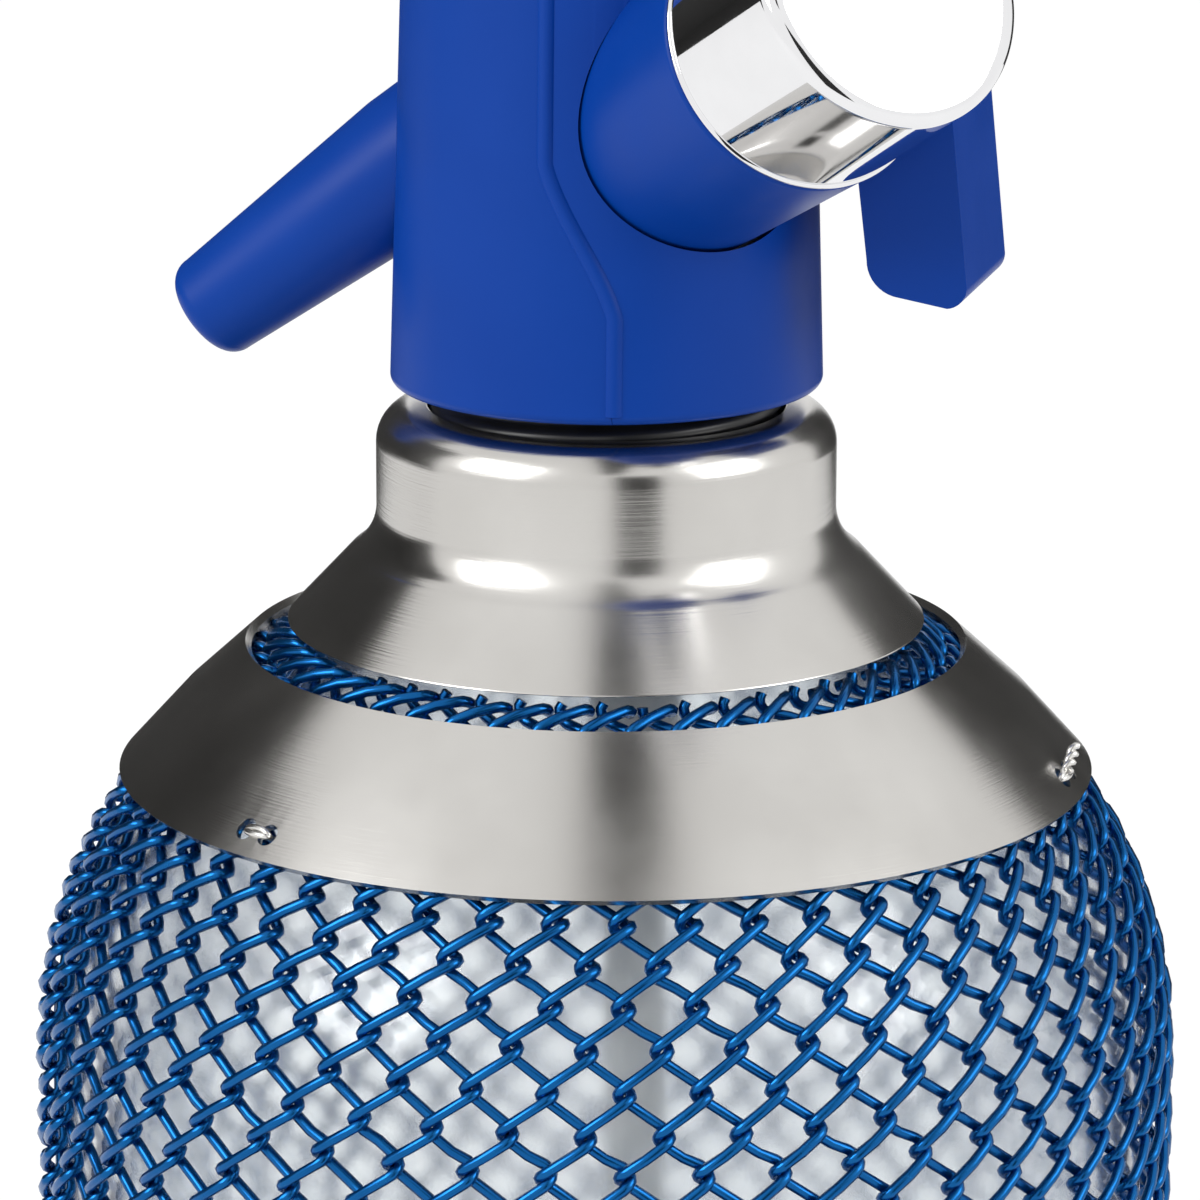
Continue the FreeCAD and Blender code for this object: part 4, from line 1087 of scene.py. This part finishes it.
def lever_form():
    """The lever's side view, from the grip's foot up its back and over the hood."""
    corners = [
        (GRIP_IN, 241.2), (30.0, 237.8, 3.4), (GRIP_OUT - 1.8, GRIP_BOTTOM),
        (GRIP_OUT, GRIP_BOTTOM + 2, 2), (GRIP_OUT - 3.8, 276), (8, LEVER_TOP, 30),
        (-9.5, LEVER_TOP - 2), (-18.5, 295, 9), (-18.5, 286), (-12.5, 285.4), (10.5, 287.6),
        (22.8, 276, -13)]
    piece = prism("squeeze_lever", outline(corners), LEVER_WIDTH)
    room = boss_rooms() + [
        cuboid("lug_room", (-16.9, -6, 278), (-5, 6, 295.2)),
        cuboid("stem_room", (-6, -6, 278), (6.5, 6, 291)),
        rod("pin_room", PIN_ROOM, 24, (PIVOT[0], -12, PIVOT[1]), (0, 1, 0), 32),
    ]
    carve(piece, room)
    return soften(piece, 1.1, 4, 40)


finish_piece(lever_form(), "lever", blue_plastic, ["lever"])

# %% [markdown]
# Foot
# The rubber foot has a shallow recess so that the siphon stands on a ring. Fine ribs round its
# side give a grip and break up the dark surface.

# %% Rubber foot
FOOT_RADIUS = 44.3
FOOT_RECESS = 1.2
RIB_STEP = 0.7
side_ribs = []
for step in range(4):
    side_ribs += [(FOOT_RADIUS, 1.3 + RIB_STEP * step),
                  (FOOT_RADIUS - 0.35, 1.65 + RIB_STEP * step)]
foot = turned("rubber_foot", [
    (0, FOOT_RECESS), (31, FOOT_RECESS), (32, 0), (FOOT_RADIUS - 1, 0), (FOOT_RADIUS, 1, 1),
    *side_ribs, (FOOT_RADIUS, FOOT_TOP), (0, FOOT_TOP)])
soften(foot, 0.15)
finish_piece(foot, "bottle", black_rubber, ["foot_pad"])

# %% [markdown]
# Camera
# The photograph looks down by about 14 degrees through a long lens, from half a metre away,
# and shows only the upper part of the siphon. The camera stands at that same viewpoint.

# %% Camera
LOOK_DOWN = 14.2
DISTANCE = 564.6
PHOTO_PIXELS = 1200
LENS_PIXELS = 5900
SENSOR = 36
AIM_HEIGHT = 205
AIM_SIDE = 6 / LENS_PIXELS * DISTANCE
ROLL = 0.15
yaw = math.radians(CAMERA_AZIMUTH)
tilt = math.radians(LOOK_DOWN)
forward = Vector((-math.sin(yaw) * math.cos(tilt), math.cos(yaw) * math.cos(tilt),
                  -math.sin(tilt)))
right = Vector((math.cos(yaw), math.sin(yaw), 0))
aim = Vector((0, 0, AIM_HEIGHT)) - right * AIM_SIDE
lens = bpy.data.cameras.new("photo_camera")
lens.sensor_width = SENSOR
lens.lens = SENSOR * LENS_PIXELS / PHOTO_PIXELS
lens.clip_start = 0.01
camera = bpy.data.objects.new("photo_camera", lens)
bpy.context.scene.collection.objects.link(camera)
camera.location = (aim - forward * DISTANCE) * MM
facing = forward.to_track_quat("-Z", "Y").to_matrix().to_4x4()
camera.rotation_euler = (facing @ Matrix.Rotation(math.radians(ROLL), 4, "Z")).to_euler()
bpy.context.scene.camera = camera
print("lens:", round(lens.lens, 1), "mm")

# %% [markdown]
# Floor and background
# A pale floor and a white surround stand in for the studio. To the camera, in reflections and
# through glass both are nearly white, which Light Path's ray types tell apart from the light
# that they really send onto the siphon. The floor keeps its shading in part, and so its shadow.

# %% Rays that see the background


def seen_directly(tree):
    """One where a ray comes from the camera, a mirror-like face or through glass."""
    rays = tree.nodes.new("ShaderNodeLightPath")
    total = rays.outputs["Is Camera Ray"]
    for label in ("Is Glossy Ray", "Is Transmission Ray"):
        more = tree.nodes.new("ShaderNodeMath")
        more.operation = "MAXIMUM"
        tree.links.new(total, more.inputs[0])
        tree.links.new(rays.outputs[label], more.inputs[1])
        total = more.outputs["Value"]
    return total


# %% Floor
FLOOR_SHARE = 0.9
FLOOR_WHITE = 1.06
deselect()
bpy.ops.mesh.primitive_plane_add(size=6)
floor = bpy.context.object
floor.name = "studio_floor"
floor_finish = finish("floor_paper", (0.80, 0.80, 0.80), (0.83, 0.83, 0.83), 0.7, 0.8, scale=5)
floor_tree = floor_finish.node_tree
glow = floor_tree.nodes.new("ShaderNodeEmission")
glow.inputs["Color"].default_value = (1, 1, 1, 1)
glow.inputs["Strength"].default_value = FLOOR_WHITE
seen_share = floor_tree.nodes.new("ShaderNodeMath")
seen_share.operation = "MULTIPLY"
seen_share.inputs[1].default_value = FLOOR_SHARE
blend = floor_tree.nodes.new("ShaderNodeMixShader")
floor_shader = floor_tree.nodes["Principled BSDF"]
floor_output = floor_tree.nodes["Material Output"]
floor_tree.links.new(seen_directly(floor_tree), seen_share.inputs[0])
floor_tree.links.new(seen_share.outputs["Value"], blend.inputs["Fac"])
floor_tree.links.new(floor_shader.outputs["BSDF"], blend.inputs[1])
floor_tree.links.new(glow.outputs["Emission"], blend.inputs[2])
floor_tree.links.new(blend.outputs["Shader"], floor_output.inputs["Surface"])
floor.data.materials.append(floor_finish)
print("floor:", floor.name)

# %% World
STUDIO_GREY = 0.62
world = bpy.data.worlds.new("studio")
bpy.context.scene.world = world
world.use_nodes = True
world_tree = world.node_tree
world_tree.nodes.clear()
studio = world_tree.nodes.new("ShaderNodeBackground")
studio.inputs["Color"].default_value = (STUDIO_GREY, STUDIO_GREY, STUDIO_GREY, 1)
white = world_tree.nodes.new("ShaderNodeBackground")
white.inputs["Color"].default_value = (1, 1, 1, 1)
choice = world_tree.nodes.new("ShaderNodeMixShader")
world_output = world_tree.nodes.new("ShaderNodeOutputWorld")
world_tree.links.new(seen_directly(world_tree), choice.inputs["Fac"])
world_tree.links.new(studio.outputs["Background"], choice.inputs[1])
world_tree.links.new(white.outputs["Background"], choice.inputs[2])
world_tree.links.new(choice.outputs["Shader"], world_output.inputs["Surface"])
print("world:", world.name)

# %% [markdown]
# Dark cards
# Polished and brushed metal would look flat in an all-white room. A photographer stands black
# cards around it, and their mirror images are the dark bands that shape the metal. These cards
# show only in reflections.

# %% Card paper and size
CARD_FOOT = 0.002
card_paper = finish("card_paper", (0.010, 0.010, 0.010), (0.018, 0.017, 0.016), 0.7, 0.9)
toward = Vector((math.sin(yaw), -math.cos(yaw), 0))


def card(name, corners):
    """A four-cornered card; corners are (towards the camera, right, up) in metres."""
    deselect()
    bpy.ops.mesh.primitive_plane_add(size=1)
    sheet = bpy.context.object
    sheet.name = name
    for vertex, (near, sideways, up) in zip(sheet.data.vertices, corners):
        vertex.co = toward * near + right * sideways + Vector((0, 0, up))
    sheet.data.materials.append(card_paper)
    sheet.visible_camera = False
    sheet.visible_diffuse = False
    sheet.visible_transmission = False
    sheet.visible_shadow = False
    print("dark card:", name)


def standing_card(name, near, first, last, top):
    """An upright card that faces the siphon, from its first edge to its last, left to right."""
    card(name, [(near, first, CARD_FOOT), (near, last, CARD_FOOT), (near, first, top),
                (near, last, top)])


# %% Cards
card("overhead_card", [(-0.4, -0.05, 1.1), (-0.4, 0.17, 1.1), (1.3, -0.05, 1.1),
                       (1.3, 0.17, 1.1)])
standing_card("camera_side_card", 0.72, 0.05, 0.36, 0.6)
standing_card("left_back_card", -0.8, -1.9, -0.12, 1.5)
standing_card("right_back_card", -0.8, 0.2, 1.1, 0.95)
card("left_card", [(-0.8, -1.5, CARD_FOOT), (-0.1, -1.5, CARD_FOOT), (-0.8, -1.5, 1.5),
                   (-0.1, -1.5, 1.5)])

# %% [markdown]
# Soft boxes
# Two wide lamps stand left and right in front of the siphon. Their size keeps the shadows soft,
# and their light is weak, because the surround already gives most of it.

# %% Soft boxes
BOX_SIZE = 0.6
LAMP_AIM = Vector((0, 0, 0.2))


def soft_box(name, place, power):
    """A square lamp that looks at the middle of the siphon."""
    light = bpy.data.lights.new(name, "AREA")
    light.energy = power
    light.size = BOX_SIZE
    lamp = bpy.data.objects.new(name, light)
    bpy.context.scene.collection.objects.link(lamp)
    lamp.location = place
    lamp.rotation_euler = (LAMP_AIM - place).to_track_quat("-Z", "Y").to_euler()
    print(name, "power:", power, "W")


soft_box("left_box", right * -0.8 + Vector((0.1, -0.5, 0.75)), 7)
soft_box("right_box", right * 0.9 + Vector((0.1, -0.4, 0.7)), 4)
bpy.context.scene.view_settings.view_transform = "Standard"
